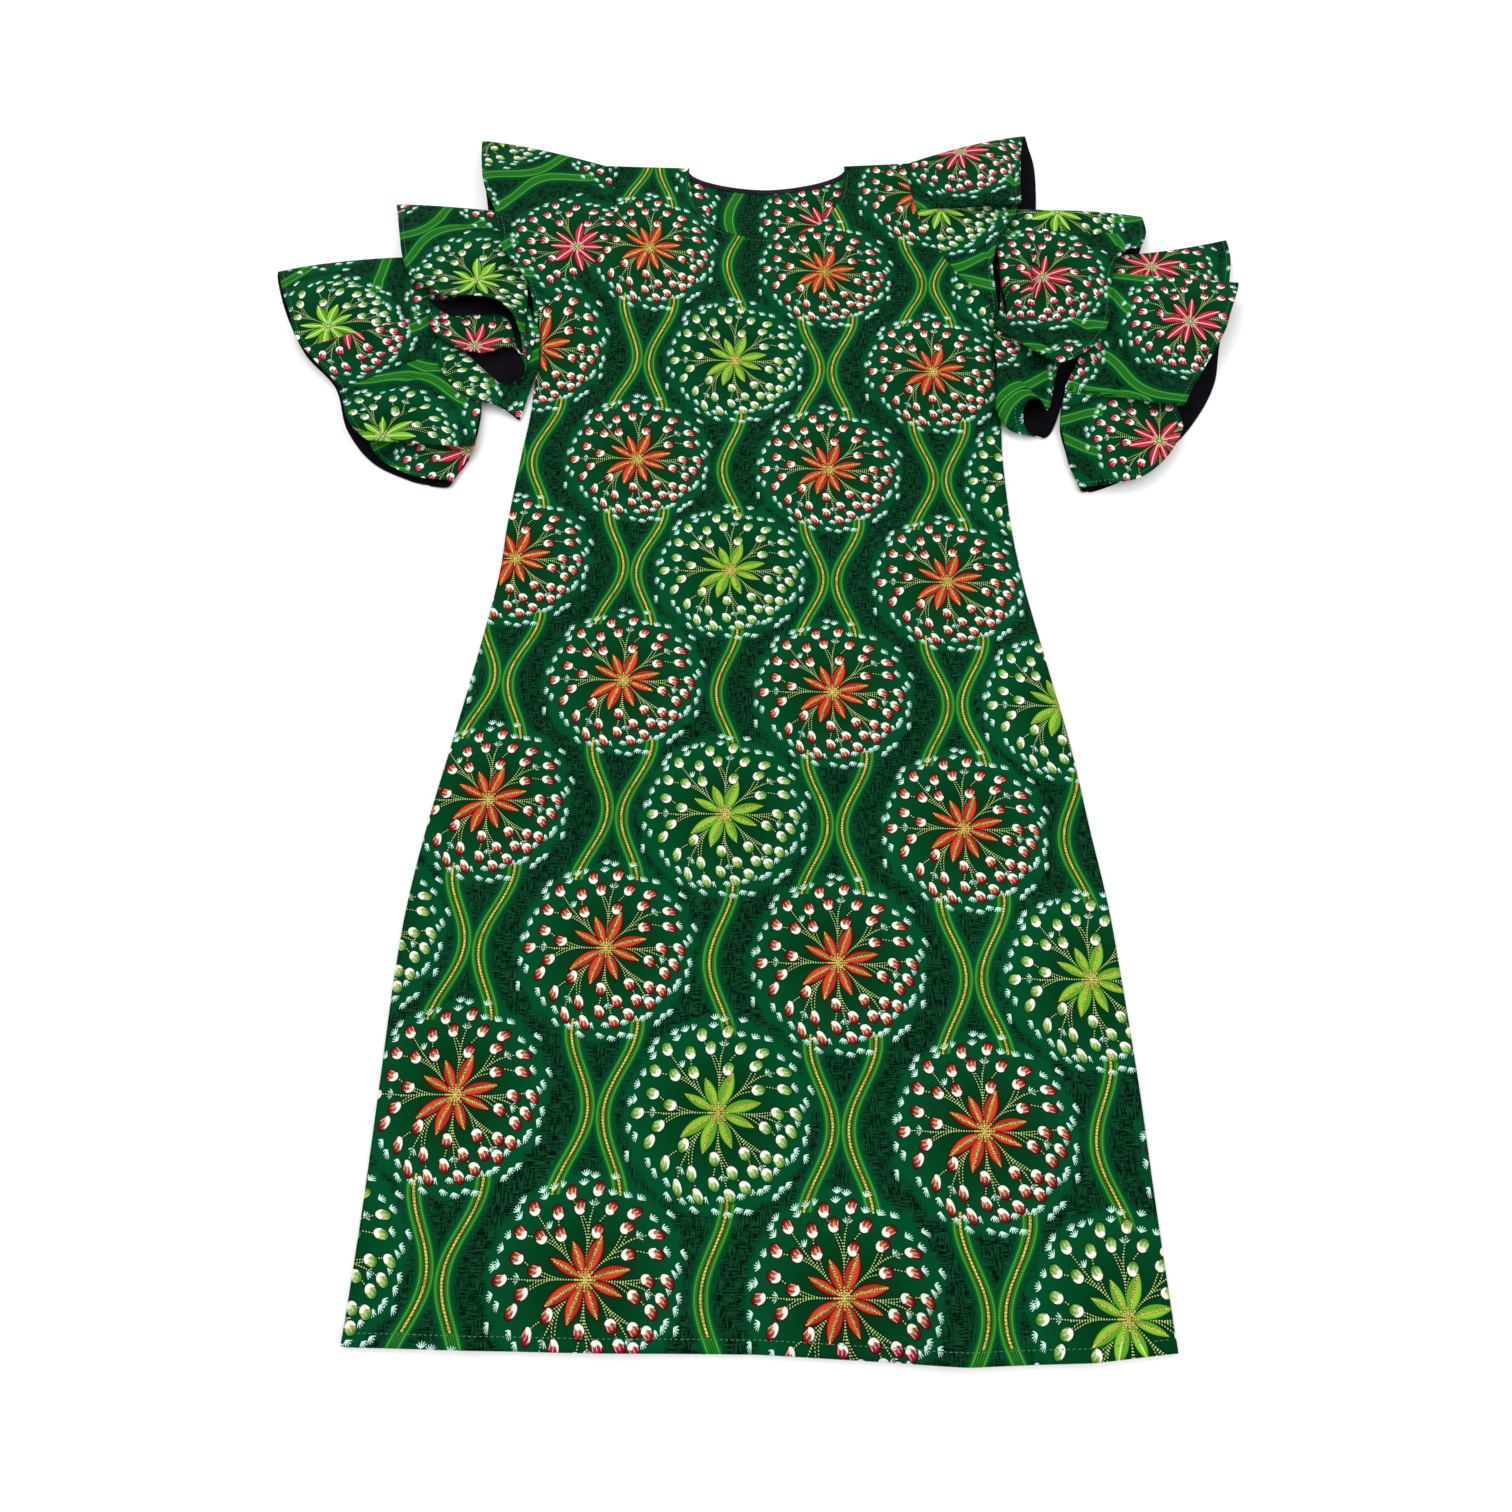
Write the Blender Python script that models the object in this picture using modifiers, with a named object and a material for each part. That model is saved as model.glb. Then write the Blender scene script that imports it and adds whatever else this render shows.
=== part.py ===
"""A bubu dress laid flat, front up: a straight A-line body of two panels and two short sleeves,
each built of three stacked circular flounces. Sizes are in millimetres until a mesh is made.
x runs across the dress, y runs up from the hem, z is the height over the surface it lies on."""

import bpy
import numpy as np

MM = 0.001

# Cloth and seams
CLOTH = 1.2
BINDING_CLOTH = 1.0
SEAM_GAP = 0.3
FLOOR_LEVEL = CLOTH / 2
SEAM_TUCK = 12.0

# Body sizes
NECK_HALF = 96.0
SHOULDER_UP = 1283.0
SHOULDER_SLOPE = 0.022
FRONT_NECK_DEPTH = 114.0
FRONT_NECK_SQUARENESS = 2.4
BACK_NECK_DEPTH = 31.0
BACK_NECK_SQUARENESS = 1.65
BINDING_WIDTH = 7.0

# Height of the front panel over the back one: over the chest, and beside the armholes, where it
# falls away from the side edge as 1 at the edge and 0 in the middle, by the power EDGE_POWER
EDGE_POWER = 1.5
CHEST_LIFT = 3.6
CHEST_FROM, CHEST_TO = 880.0, 1180.0
ARMHOLE_LIFT = 9.5
ARMHOLE_FROM, ARMHOLE_TO = 985.0, 1070.0

# The side edges, from the hem corner up to the shoulder point: up, left half, right half
SIDES = [
    (10, 328, 330),
    (110, 326, 327),
    (210, 326, 325),
    (300, 326, 321),
    (365, 323, 317),
    (440, 314, 308),
    (520, 301, 299),
    (610, 287, 284),
    (700, 275, 269),
    (770, 272, 262),
    (850, 266, 260),
    (905, 261, 262),
    (950, 260, 262),
    (1000, 259, 261),
    (1045, 262, 263),
    (1075, 240, 251),
    (1105, 216, 226),
    (1145, 193, 203),
    (1185, 187, 187),
    (1225, 183, 178),
    (1258, 189, 174),
    (SHOULDER_UP, 197, 178),
]

# The hem line, from the left corner to the right one: across (-1 to 1), up
HEM = [(-1, 9), (-0.5, 7), (0, 7), (0.5, 0), (0.8, 4), (1, 11)]

# The ridges down the front lean as straight lines up to the chest, die away over RIDGE_FOOT and
# RIDGE_HEAD at their ends, and are flat by the side edges, within RIDGE_CLEAR of the half width
RIDGE_CHEST_UP = 1000.0
RIDGE_FOOT, RIDGE_HEAD = 140.0, 200.0
RIDGE_CLEAR = 0.11

# Long soft ridges: x at the hem, x at the chest, foot up, head up, width, height
RIDGES = [
    (-236, -150, -60, 700, 30, 3.2),
    (-120, -84, -80, 520, 36, 2.4),
    (22, 30, 120, 1000, 44, 2.0),
    (150, 112, -80, 600, 34, 3.0),
    (262, 196, -60, 830, 26, 2.6),
    (-205, -168, 620, 1090, 30, 2.6),
    (176, 150, 640, 1120, 32, 2.8),
]

# The line that each outer flounce is sewn on, from its top fold to its underarm: up, out from the
# middle of the dress. The first flounce's seam follows the body's side edge, SEAM_TUCK inside it.
SEAMS = {
    "left_tier_2": [(1205, 292), (1150, 278), (1045, 277), (1020, 266), (975, 263)],
    "left_tier_3": [(1135, 380), (1060, 356), (1020, 346), (960, 325), (920, 316), (860, 317), (832, 331)],
    "right_tier_2": [(1216, 272), (1100, 277), (1060, 277), (1035, 268), (945, 266)],
    "right_tier_3": [(1145, 376), (1030, 371), (1000, 362), (950, 337), (900, 326), (845, 332)],
}

# How far each top fold arches up between its seam and its free edge, and the share of it that the
# ribs before, at and after the fold take
TOP_ARCHES = {"left_tier_1": 5, "left_tier_3": 5, "right_tier_1": 6, "right_tier_2": 3, "right_tier_3": -8}
ARCH_SHARES = (0.5, 1, 0.5)

# The flounces. Each row is a rib of the ring, at one fold or in the cloth between two, in the order
# round it: place, seam up, seam level, free edge out, free edge up, free edge level, bow. Out is the
# distance from the middle of the dress, and level is the height over the surface.
LEFT_TIER_1 = [
    ("top fold", 1281, 5, 358, 1324, 9, 1),
    ("front", 1250, 7, 352, 1282, 17, 3),
    ("front", 1215, 7, 343, 1235, 21, 3),
    ("front", 1180, 7, 326, 1195, 22, 2),
    ("front", 1150, 7, 315, 1160, 23, 0),
    ("front", 1125, 7.5, 308, 1125, 24, 0),
    ("front", 1100, 7.5, 286, 1097, 24, 0),
    ("front", 1075, 7, 272, 1070, 17, 0),
    ("front", 1050, 6, 268, 1046, 8, 0),
    ("underarm", 1028, 4, 266, 1028, 4, 0),
    ("back", 1050, 2.1, 274, 1047, 1.9, 0),
    ("back", 1080, 2.1, 315, 1075, 0.6, 0),
    ("back", 1130, 2.1, 327, 1137, 0.6, 0),
    ("back", 1180, 2.1, 340, 1210, 0.6, 0),
    ("back", 1235, 2.1, 353, 1277, 0.6, 0),
    ("back", 1265, 2.5, 359, 1315, 1.2, 0),
]
LEFT_TIER_2 = [
    ("top fold", 1205, 6, 452, 1218, 6, 2),
    ("front", 1180, 8, 441, 1177, 12, 2),
    ("front", 1155, 9, 429, 1125, 16, 2),
    ("front", 1138, 10, 412, 1089, 20, 1),
    ("wave 1", 1123, 11, 388, 1070, 24, 1),
    ("wave 1", 1109, 12, 360, 1050, 27, 1),
    ("wave 1", 1098, 13, 331, 1045, 30, 1),
    ("wave 1", 1087, 13, 305, 1034, 29, 0),
    ("wave 1", 1080, 12.4, 288, 1034, 26, 0),
    ("tucked", 1075, 11, 283, 1042, 20, 0),
    ("tucked", 1071, 10, 290, 1054, 14, 0),
    ("tucked", 1067, 9, 320, 1052, 11, 0),
    ("tucked", 1062, 8, 361, 1038, 12, 0),
    ("wave 2", 1054, 9, 376, 1018, 18, 0),
    ("wave 2", 1045, 10, 361, 1000, 22, 0),
    ("wave 2", 1035, 11, 329, 984, 25, 0),
    ("wave 2", 1027, 11, 294, 988, 23, 0),
    ("tucked", 1023, 10.4, 284, 992, 19.5, 0),
    ("tucked", 1020, 9.6, 296, 994, 16, 0),
    ("tucked", 1016, 9, 334, 991, 17.5, 0),
    ("tucked", 1013, 8.6, 355, 1000, 16.5, 0),
    ("wave 3", 1011, 7.4, 361, 999, 12.5, 0),
    ("wave 3", 1008, 7, 370, 986, 10.5, 0),
    ("wave 3", 1003, 6.8, 366, 966, 10, 1),
    ("wave 3", 998, 7, 338, 930, 11, 1),
    ("wave 3", 989, 6.4, 299, 917, 8, 0),
    ("underarm", 979, 5, 275, 904, 5, 0),
    ("underarm", 977, 3.2, 274, 902, 2, 0),
    ("back", 992, 2.7, 290, 916, 0.6, 0),
    ("back", 1013, 3.5, 321, 936, 0.6, 0),
    ("back", 1046, 3.3, 364, 975, 0.6, 0),
    ("back", 1080, 3.3, 389, 1027, 0.6, 0),
    ("back", 1127, 3.2, 414, 1086, 0.6, 0),
    ("back", 1175, 3.2, 438, 1150, 0.6, 0),
    ("back", 1198, 3.6, 451, 1208, 1, 0),
]
LEFT_TIER_3 = [
    ("top fold", 1137, 4.8, 578, 1111, 4, 2),
    ("front", 1118, 6, 564, 1076, 9, 3),
    ("front", 1100, 6, 549, 1042, 12, 3),
    ("front", 1080, 5.4, 537, 1009, 13, 3),
    ("front", 1060, 5.4, 518, 984, 13, 3),
    ("front", 1043, 5.4, 499, 964, 12, 3),
    ("valley", 1022, 5.4, 481, 945, 9, 1),
    ("front", 996, 5.4, 470, 923, 10, 1),
    ("front", 961, 5.6, 460, 897, 15, 2),
    ("front", 922, 6.5, 447, 876, 20, 2),
    ("crest", 863, 12, 432, 861, 22, 1),
    ("crest", 863, 10.4, 427, 861, 18.5, 0),
    ("tucked", 867, 9, 428, 874, 14, 0),
    ("tucked", 876, 7.4, 420, 892, 9.5, 0),
    ("tucked", 866, 5.2, 433, 872, 4.6, 0),
    ("lower wave", 857, 5, 421, 849, 5, 0),
    ("lower wave", 850, 5, 397, 832, 6, 0),
    ("lower wave", 844, 5, 371, 822, 6.5, 0),
    ("underarm", 834, 4.2, 341, 819, 5, 0),
    ("underarm", 833, 2.6, 341, 813, 1.8, 0),
    ("back", 848, 1.9, 357, 814, 0.6, 0),
    ("back", 886, 2.4, 386, 822, 0.6, 0),
    ("back", 928, 3.3, 429, 845, 0.6, 0),
    ("back", 991, 3.3, 463, 888, 0.6, 0),
    ("back", 1045, 3.3, 485, 945, 0.6, 0),
    ("back", 1087, 3.3, 527, 992, 0.6, 0),
    ("back", 1118, 3.3, 558, 1048, 0.6, 0),
    ("back", 1130, 3.4, 577, 1097, 1.2, 0),
]
RIGHT_TIER_1 = [
    ("top fold", 1290, 5, 325, 1341, 7, 1),
    ("front", 1258, 7, 317, 1299, 14, 3),
    ("front", 1231, 7.5, 313, 1248, 20, 3),
    ("crest", 1218, 8.8, 311, 1215, 24, 1),
    ("crest", 1216, 8, 310, 1210, 21, 0),
    ("tucked", 1213, 7, 308, 1224, 16.5, 0),
    ("tucked", 1208, 5.6, 307, 1214, 12, 0),
    ("front", 1186, 7, 294, 1184, 17, 1),
    ("front", 1160, 7.5, 275, 1152, 20, 1),
    ("front", 1135, 7.5, 266, 1118, 18, 0),
    ("front", 1110, 7, 267, 1085, 14, 0),
    ("front", 1078, 6.4, 270, 1062, 9, 0),
    ("underarm", 1046, 4, 269, 1044, 4, 0),
    ("back", 1070, 2.1, 274, 1064, 1.9, 0),
    ("back", 1110, 2.1, 314, 1120, 0.6, 0),
    ("back", 1160, 2.1, 325, 1180, 0.6, 0),
    ("back", 1200, 2.1, 332, 1236, 0.6, 0),
    ("back", 1240, 2.1, 335, 1292, 0.6, 0),
    ("back", 1270, 2.3, 331, 1328, 0.8, 0),
]
RIGHT_TIER_2 = [
    ("top fold", 1217, 6, 456, 1206, 6, 2),
    ("front", 1190, 8, 456, 1178, 10, 2),
    ("front", 1168, 9, 446, 1153, 13, 2),
    ("front", 1153, 10, 430, 1146, 15, 2),
    ("front", 1138, 10, 415, 1129, 17, 2),
    ("front", 1120, 10, 403, 1099, 19, 1),
    ("front", 1098, 10, 397, 1059, 21, 1),
    ("front", 1075, 10, 387, 1022, 22, 1),
    ("front", 1054, 11, 365, 990, 23, 1),
    ("crest", 1034, 12, 333, 968, 25, 1),
    ("crest", 1032, 10.4, 328, 969, 20.5, 0),
    ("tucked", 1030, 8.4, 335, 986, 14, 0),
    ("tucked", 1026, 6, 341, 1000, 7, 0),
    ("roll foot", 1015, 5, 328, 964, 4, 0),
    ("roll", 999, 9, 316, 919, 12, 0),
    ("roll", 985, 13, 300, 915, 25, 0),
    ("roll", 973, 15, 284, 913, 28, 0),
    ("roll", 964, 13, 275, 912, 20, 0),
    ("roll", 955, 8, 273, 903, 9, 0),
    ("underarm", 945, 4.2, 277, 886, 3.4, 0),
    ("back", 960, 2.4, 292, 882, 0.6, 0),
    ("back", 984, 2.8, 318, 895, 0.6, 0),
    ("back", 1011, 3.3, 350, 972, 0.6, 0),
    ("back", 1051, 3.3, 393, 1022, 0.6, 0),
    ("back", 1093, 3.3, 418, 1073, 0.6, 0),
    ("back", 1137, 3.2, 437, 1125, 0.6, 0),
    ("back", 1178, 3.2, 454, 1170, 0.6, 0),
    ("back", 1203, 3.6, 458, 1196, 1.2, 0),
]
RIGHT_TIER_3 = [
    ("top fold", 1145, 5, 553, 1171, 5, 1),
    ("back flap", 1134, 6.5, 552, 1140, 8, 1),
    ("back flap", 1124, 7, 545, 1101, 7, 0),
    ("tucked", 1117, 8, 543, 1084, 9, 0),
    ("tucked", 1116, 10, 548, 1088, 13, 0),
    ("crest", 1114, 12, 549, 1091, 18, 1),
    ("front", 1100, 13, 543, 1074, 21, 1),
    ("front", 1078, 13, 532, 1048, 22, 2),
    ("front", 1055, 12, 522, 1021, 21, 2),
    ("front", 1031, 12, 508, 996, 19, 2),
    ("front", 1006, 11, 491, 968, 18, 2),
    ("front", 980, 11, 472, 937, 20, 2),
    ("crest", 950, 11, 458, 912, 22, 1),
    ("tucked", 943, 8.5, 456, 920, 14, 0),
    ("tucked", 936, 7, 455, 931, 8, 0),
    ("tucked", 929, 6, 460, 911, 6, 0),
    ("lower wave", 918, 6, 458, 889, 9, 0),
    ("lower wave", 901, 6, 436, 853, 11, 1),
    ("lower wave", 883, 6, 404, 826, 11, 1),
    ("lower wave", 865, 5, 368, 819, 8, 1),
    ("underarm", 848, 4.4, 343, 816, 6, 0),
    ("underarm", 847, 2.6, 343, 813, 2, 0),
    ("back", 864, 2, 360, 816, 0.6, 0),
    ("back", 895, 2.4, 397, 834, 0.6, 0),
    ("back", 935, 3, 448, 873, 0.6, 0),
    ("back", 976, 3.3, 483, 915, 0.6, 0),
    ("back", 1020, 3.3, 508, 960, 0.6, 0),
    ("back", 1065, 3.3, 521, 1009, 0.6, 0),
    ("back", 1109, 3.3, 541, 1083, 0.6, 0),
    ("back", 1138, 3.6, 553, 1157, 1.2, 0),
]
LEFT, RIGHT = -1, 1
FLOUNCES = {
    "left_tier_1": (LEFT, LEFT_TIER_1),
    "left_tier_2": (LEFT, LEFT_TIER_2),
    "left_tier_3": (LEFT, LEFT_TIER_3),
    "right_tier_1": (RIGHT, RIGHT_TIER_1),
    "right_tier_2": (RIGHT, RIGHT_TIER_2),
    "right_tier_3": (RIGHT, RIGHT_TIER_3),
}

# Grid steps, and the heights between which the grid's columns and rows turn to the neckline
COLUMNS_TURN = (700.0, 1130.0)
ROWS_TURN = (860.0, SHOULDER_UP)
HEM_CURVE_UP = 400.0
SHOULDER_STEPS = 4
NECK_STEPS = 14
BODY_ROWS = 30
RIB_STEPS = 2
ACROSS_STEPS = 5
BINDING_STEPS = 24

# A flounce rises from its seam to its free edge by the power RISE_POWER. Its bow, out squared
# times (1 - out), is scaled by BOW_PEAK to be 1 at its highest
RISE_POWER = 1.5
BOW_PEAK = 6.75

# The binding ends a little inside the neck's two corners: its share of the half turn of the scoop
BINDING_REACH = 0.94

# Colours of the print and of the dark binding: base colour, roughness, metallic
PRINT_FINISH = ((0.012, 0.11, 0.06, 1), 0.7, 0.0)
BINDING_FINISH = ((0.006, 0.005, 0.009, 1), 0.6, 0.0)


def clear_scene():
    for old in list(bpy.data.objects):
        bpy.data.objects.remove(old, do_unlink=True)


def smooth(value, low, high):
    """0 below low, 1 above high, and an even S between them."""
    t = np.clip((value - low) / (high - low), 0, 1)
    return t * t * (3 - 2 * t)


def curve_through(points, samples, closed=False):
    """Places on the smooth curve that passes through every row of points, at samples counted in
    rows. Each stretch is a cubic whose slope at a row is half the step between its neighbours."""
    points = np.asarray(points, float)
    samples = np.asarray(samples, float)
    count = len(points)
    start = np.floor(samples).astype(int)
    if not closed:
        start = np.clip(start, 0, count - 2)
    part = (samples - start)[:, None]
    around = [start + step for step in (-1, 0, 1, 2)]
    if closed:
        before, here, after, beyond = (points[index % count] for index in around)
    else:
        before, here, after, beyond = (points[np.clip(index, 0, count - 1)] for index in around)
    slope_here = (after - before) / 2
    slope_after = (beyond - here) / 2
    square, cube = part**2, part**3
    return (
        here * (2 * cube - 3 * square + 1)
        + slope_here * (cube - 2 * square + part)
        + after * (3 * square - 2 * cube)
        + slope_after * (cube - square)
    )


def neck_edge(x, depth, squareness):
    """Height of the top edge at x: the sloping shoulder line, less the scoop inside the neck."""
    reach = np.clip(np.abs(x) / NECK_HALF, 0, 1)
    return SHOULDER_UP + SHOULDER_SLOPE * x - depth * (1 - reach**squareness) ** (1 / squareness)


def panel_plan(neck_depth, squareness):
    """x and y of a body panel's grid, and how far across each point is, -1 to 1. Rows follow the
    side edges, and turn to the hem line below and to the neckline above. Columns are evenly spaced
    at the hem, and turn to the two shoulder seams and the neck's arc at the top."""
    sides = curve_through(SIDES, np.linspace(0, len(SIDES) - 1, BODY_ROWS + 1))
    up = np.minimum(sides[:, 0:1], SHOULDER_UP)
    left, right = -sides[:, 1:2], sides[:, 2:3]
    arc = NECK_HALF * np.sin(np.linspace(-np.pi / 2, np.pi / 2, NECK_STEPS + 1))[None, :]
    inward = np.linspace(0, 1, SHOULDER_STEPS, endpoint=False)[None, :]
    left_shoulder = left + (-NECK_HALF - left) * inward
    right_shoulder = (right + (NECK_HALF - right) * inward)[:, ::-1]
    gathered = np.hstack([left_shoulder, np.repeat(arc, len(up), axis=0), right_shoulder])
    even = np.linspace(0, 1, gathered.shape[1])[None, :]
    spread = left + (right - left) * even
    to_neck = smooth(up, *COLUMNS_TURN)
    x = spread * (1 - to_neck) + gathered * to_neck
    hem_across, hem_up = np.array(HEM, float).T
    hem = np.interp(2 * even - 1, hem_across, hem_up) - SIDES[0][0]
    top = neck_edge(gathered[-1:], neck_depth, squareness) - SHOULDER_UP
    y = up + hem * (1 - smooth(up, 0, HEM_CURVE_UP)) + top * smooth(up, *ROWS_TURN)
    return x, y, (2 * x - left - right) / (right - left)


def front_lift(x, y, side):
    """Height of the front panel's underside over the back panel. side is -1 to 1 across."""
    edge = np.abs(side) ** EDGE_POWER
    seam = ARMHOLE_LIFT * smooth(y, ARMHOLE_FROM, ARMHOLE_TO) * edge
    chest = CHEST_LIFT * smooth(y, CHEST_FROM, CHEST_TO) * (1 - edge)
    ridges = np.zeros_like(x)
    for hem_x, chest_x, foot, head, width, height in RIDGES:
        middle = hem_x + (chest_x - hem_x) * y / RIDGE_CHEST_UP
        ends = smooth(y, foot, foot + RIDGE_FOOT) * (1 - smooth(y, head - RIDGE_HEAD, head))
        ridges = ridges + height * ends * np.exp(-(((x - middle) / width) ** 2))
    beside_seam = np.minimum(1, (1 - np.abs(side)) / RIDGE_CLEAR)
    return SEAM_GAP + seam + chest + ridges * beside_seam


def seam_out(name, up):
    """How far a flounce's seam is from the middle of the dress, at a height up the dress."""
    if name in SEAMS:
        line = np.array(SEAMS[name], float)[::-1]
        return np.interp(up, line[:, 0], line[:, 1])
    sides = np.array(SIDES, float)
    return np.interp(up, sides[:, 0], sides[:, 1 if name.startswith("left") else 2]) - SEAM_TUCK


def flounce_points(name, side, folds):
    """The middle of a flounce's cloth: a closed ring of ribs, each running from the sewn edge to
    the free edge, low at first, as the flounce leaves its seam flat, with its bow on top."""
    seam_up, seam_level, free_out, free_up, free_level, bow = np.array([row[1:] for row in folds]).T
    seam_x, free_x = side * seam_out(name, seam_up), side * free_out
    arch = np.zeros(len(folds))
    arch[[-1, 0, 1]] = np.array(ARCH_SHARES) * TOP_ARCHES.get(name, 0)
    table = np.stack([seam_x, seam_up, seam_level, free_x, free_up, free_level, bow, arch], axis=1)
    around = np.arange(len(folds) * RIB_STEPS) / RIB_STEPS
    ring = curve_through(table, around, closed=True)
    sewn, free, bow, arch = ring[:, None, 0:3], ring[:, None, 3:6], ring[:, None, 6], ring[:, None, 7]
    out = np.linspace(0, 1, ACROSS_STEPS + 1)[None, :]
    plan = sewn[..., :2] + (free - sewn)[..., :2] * out[..., None]
    rise = sewn[..., 2] + (free - sewn)[..., 2] * out**RISE_POWER
    rise = rise + bow * BOW_PEAK * out**2 * (1 - out)
    plan[..., 1] += arch * 4 * out * (1 - out)
    return np.concatenate([plan, np.maximum(rise, FLOOR_LEVEL)[..., None]], axis=2)


def material(name, finish):
    colour, roughness, metallic = finish
    made = bpy.data.materials.new(name)
    made.use_nodes = True
    shader = made.node_tree.nodes["Principled BSDF"]
    shader.inputs["Base Color"].default_value = colour
    shader.inputs["Roughness"].default_value = roughness
    shader.inputs["Metallic"].default_value = metallic
    made.diffuse_color = colour
    return made


def cloth_object(name, points, thickness, side, finish, ring=False):
    """A grid of points made a wall of cloth by Solidify. side is 1 to grow it upwards from the
    grid, 0 to keep the grid in the wall's middle. ring joins the last row to the first."""
    rows, columns = points.shape[:2]
    index = np.arange(rows * columns).reshape(rows, columns)
    following = np.roll(index, -1, axis=0) if ring else index[1:]
    first = index if ring else index[:-1]
    faces = np.stack([first[:, :-1], first[:, 1:], following[:, 1:], following[:, :-1]], axis=-1)
    mesh = bpy.data.meshes.new(name)
    mesh.from_pydata((points.reshape(-1, 3) * MM).tolist(), [], faces.reshape(-1, 4).tolist())
    mesh.shade_smooth()
    mesh.materials.append(material(name + "_cloth", finish))
    made = bpy.data.objects.new(name, mesh)
    wall = made.modifiers.new("Cloth wall", "SOLIDIFY")
    wall.thickness = thickness * MM
    wall.offset = side
    bpy.data.collections["Bubu dress"].objects.link(made)
    return made


def body_panels():
    """The back panel lies on the surface. The front panel lies on it, and stands off it where
    the sleeves' seams are between them."""
    x, y, _ = panel_plan(BACK_NECK_DEPTH, BACK_NECK_SQUARENESS)
    cloth_object("back_panel", np.stack([x, y, np.zeros_like(x)], axis=2), CLOTH, 1, PRINT_FINISH)
    x, y, side = panel_plan(FRONT_NECK_DEPTH, FRONT_NECK_SQUARENESS)
    under = CLOTH + front_lift(x, y, side)
    cloth_object("front_panel", np.stack([x, y, under], axis=2), CLOTH, 1, PRINT_FINISH)


def back_neck_binding():
    """The dark binding inside the back neck: a strip on the panel, along the scoop."""
    arc = np.linspace(-1, 1, BINDING_STEPS + 1) * BINDING_REACH * np.pi / 2
    across = np.sin(arc) * NECK_HALF
    outline = np.stack([across, neck_edge(across, BACK_NECK_DEPTH, BACK_NECK_SQUARENESS)], axis=1)
    along = np.gradient(outline, axis=0)
    inward = np.stack([along[:, 1], -along[:, 0]], axis=1)
    inward /= np.linalg.norm(inward, axis=1)[:, None]
    inner = outline + inward * BINDING_WIDTH
    level = np.full((len(arc), 1), CLOTH + SEAM_GAP)
    strip = np.stack([np.hstack([outline, level]), np.hstack([inner, level])], axis=1)
    cloth_object("back_neck_binding", strip, BINDING_CLOTH, 1, BINDING_FINISH)


def stand_on_origin():
    """Moves every mesh so that the dress's box has its middle on the origin and its foot at 0."""
    graph = bpy.context.evaluated_depsgraph_get()
    corners = []
    for made in bpy.data.collections["Bubu dress"].objects:
        wall = made.evaluated_get(graph).to_mesh()
        place = np.empty(len(wall.vertices) * 3)
        wall.vertices.foreach_get("co", place)
        corners.append(place.reshape(-1, 3).min(axis=0))
        corners.append(place.reshape(-1, 3).max(axis=0))
    low, high = np.min(corners, axis=0), np.max(corners, axis=0)
    shift = np.array([(low[0] + high[0]) / 2, (low[1] + high[1]) / 2, low[2]])
    for made in bpy.data.collections["Bubu dress"].objects:
        place = np.empty(len(made.data.vertices) * 3)
        made.data.vertices.foreach_get("co", place)
        made.data.vertices.foreach_set("co", (place.reshape(-1, 3) - shift).ravel())
        made.data.update()
    print("box in mm", np.round((high - low) / MM, 1), "moved by", np.round(-shift / MM, 2))


clear_scene()
bpy.context.scene.collection.children.link(bpy.data.collections.new("Bubu dress"))
body_panels()
back_neck_binding()
for flounce, (which_side, its_folds) in FLOUNCES.items():
    ring_points = flounce_points(flounce, which_side, its_folds)
    cloth_object(flounce, ring_points, CLOTH, 0, PRINT_FINISH, ring=True)
stand_on_origin()
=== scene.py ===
# %% [markdown]
# Bubu dress, laid flat
#
# This lesson dresses a packed model of an African wax-print dress. The real one is laid front up on
# a white table: two flat panels make its body, and each short sleeve is a stack of three circular
# flounces, printed outside and lined in black. The packed model gives every piece's place. Each
# piece here is a thin shell of cloth on that place, with finer folds, and with the print drawn by
# nodes. Sizes are in millimetres on the dress, x across it and y up from its hem, until a mesh is made.

import bpy
import numpy as np

import math
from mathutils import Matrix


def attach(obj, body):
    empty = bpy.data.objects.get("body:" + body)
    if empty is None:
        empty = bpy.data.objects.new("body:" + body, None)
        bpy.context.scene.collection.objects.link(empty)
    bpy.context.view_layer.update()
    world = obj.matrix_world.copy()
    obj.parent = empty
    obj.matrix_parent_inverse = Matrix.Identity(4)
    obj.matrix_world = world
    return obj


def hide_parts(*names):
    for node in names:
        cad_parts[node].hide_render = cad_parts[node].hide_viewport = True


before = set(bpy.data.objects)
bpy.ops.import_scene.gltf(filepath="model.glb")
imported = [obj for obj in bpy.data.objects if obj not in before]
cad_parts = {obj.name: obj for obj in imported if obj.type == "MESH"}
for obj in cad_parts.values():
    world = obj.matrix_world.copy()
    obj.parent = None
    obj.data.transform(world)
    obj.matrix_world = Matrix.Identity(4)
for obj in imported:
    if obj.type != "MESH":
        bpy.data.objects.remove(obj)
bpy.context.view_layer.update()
MM = 0.001
DRESS_TO_FRAME = np.array([12.83, -671.1, 0.0])
print("nodes:", ", ".join(sorted(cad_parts)))

# %% [markdown]
# The photographer stood at the hem and looked down at the dress, about 20 degrees off upright. The
# camera's place comes from the photo's own perspective: the hem end is nearer and looks larger.

# %% Camera
CAMERA_PLACE = (0.00976, -0.47536, 0.857)
CAMERA_TILT, CAMERA_TURN = 20.0, 0.54
FOCAL_PIXELS, PHOTO_PIXELS, SENSOR = 941.0, 1512.0, 36.0
NEAREST, FARTHEST = 0.05, 20


def add_object(name, data):
    """A new object in the scene, from its mesh, lamp or camera data."""
    item = bpy.data.objects.new(name, data)
    bpy.context.scene.collection.objects.link(item)
    return item


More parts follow.
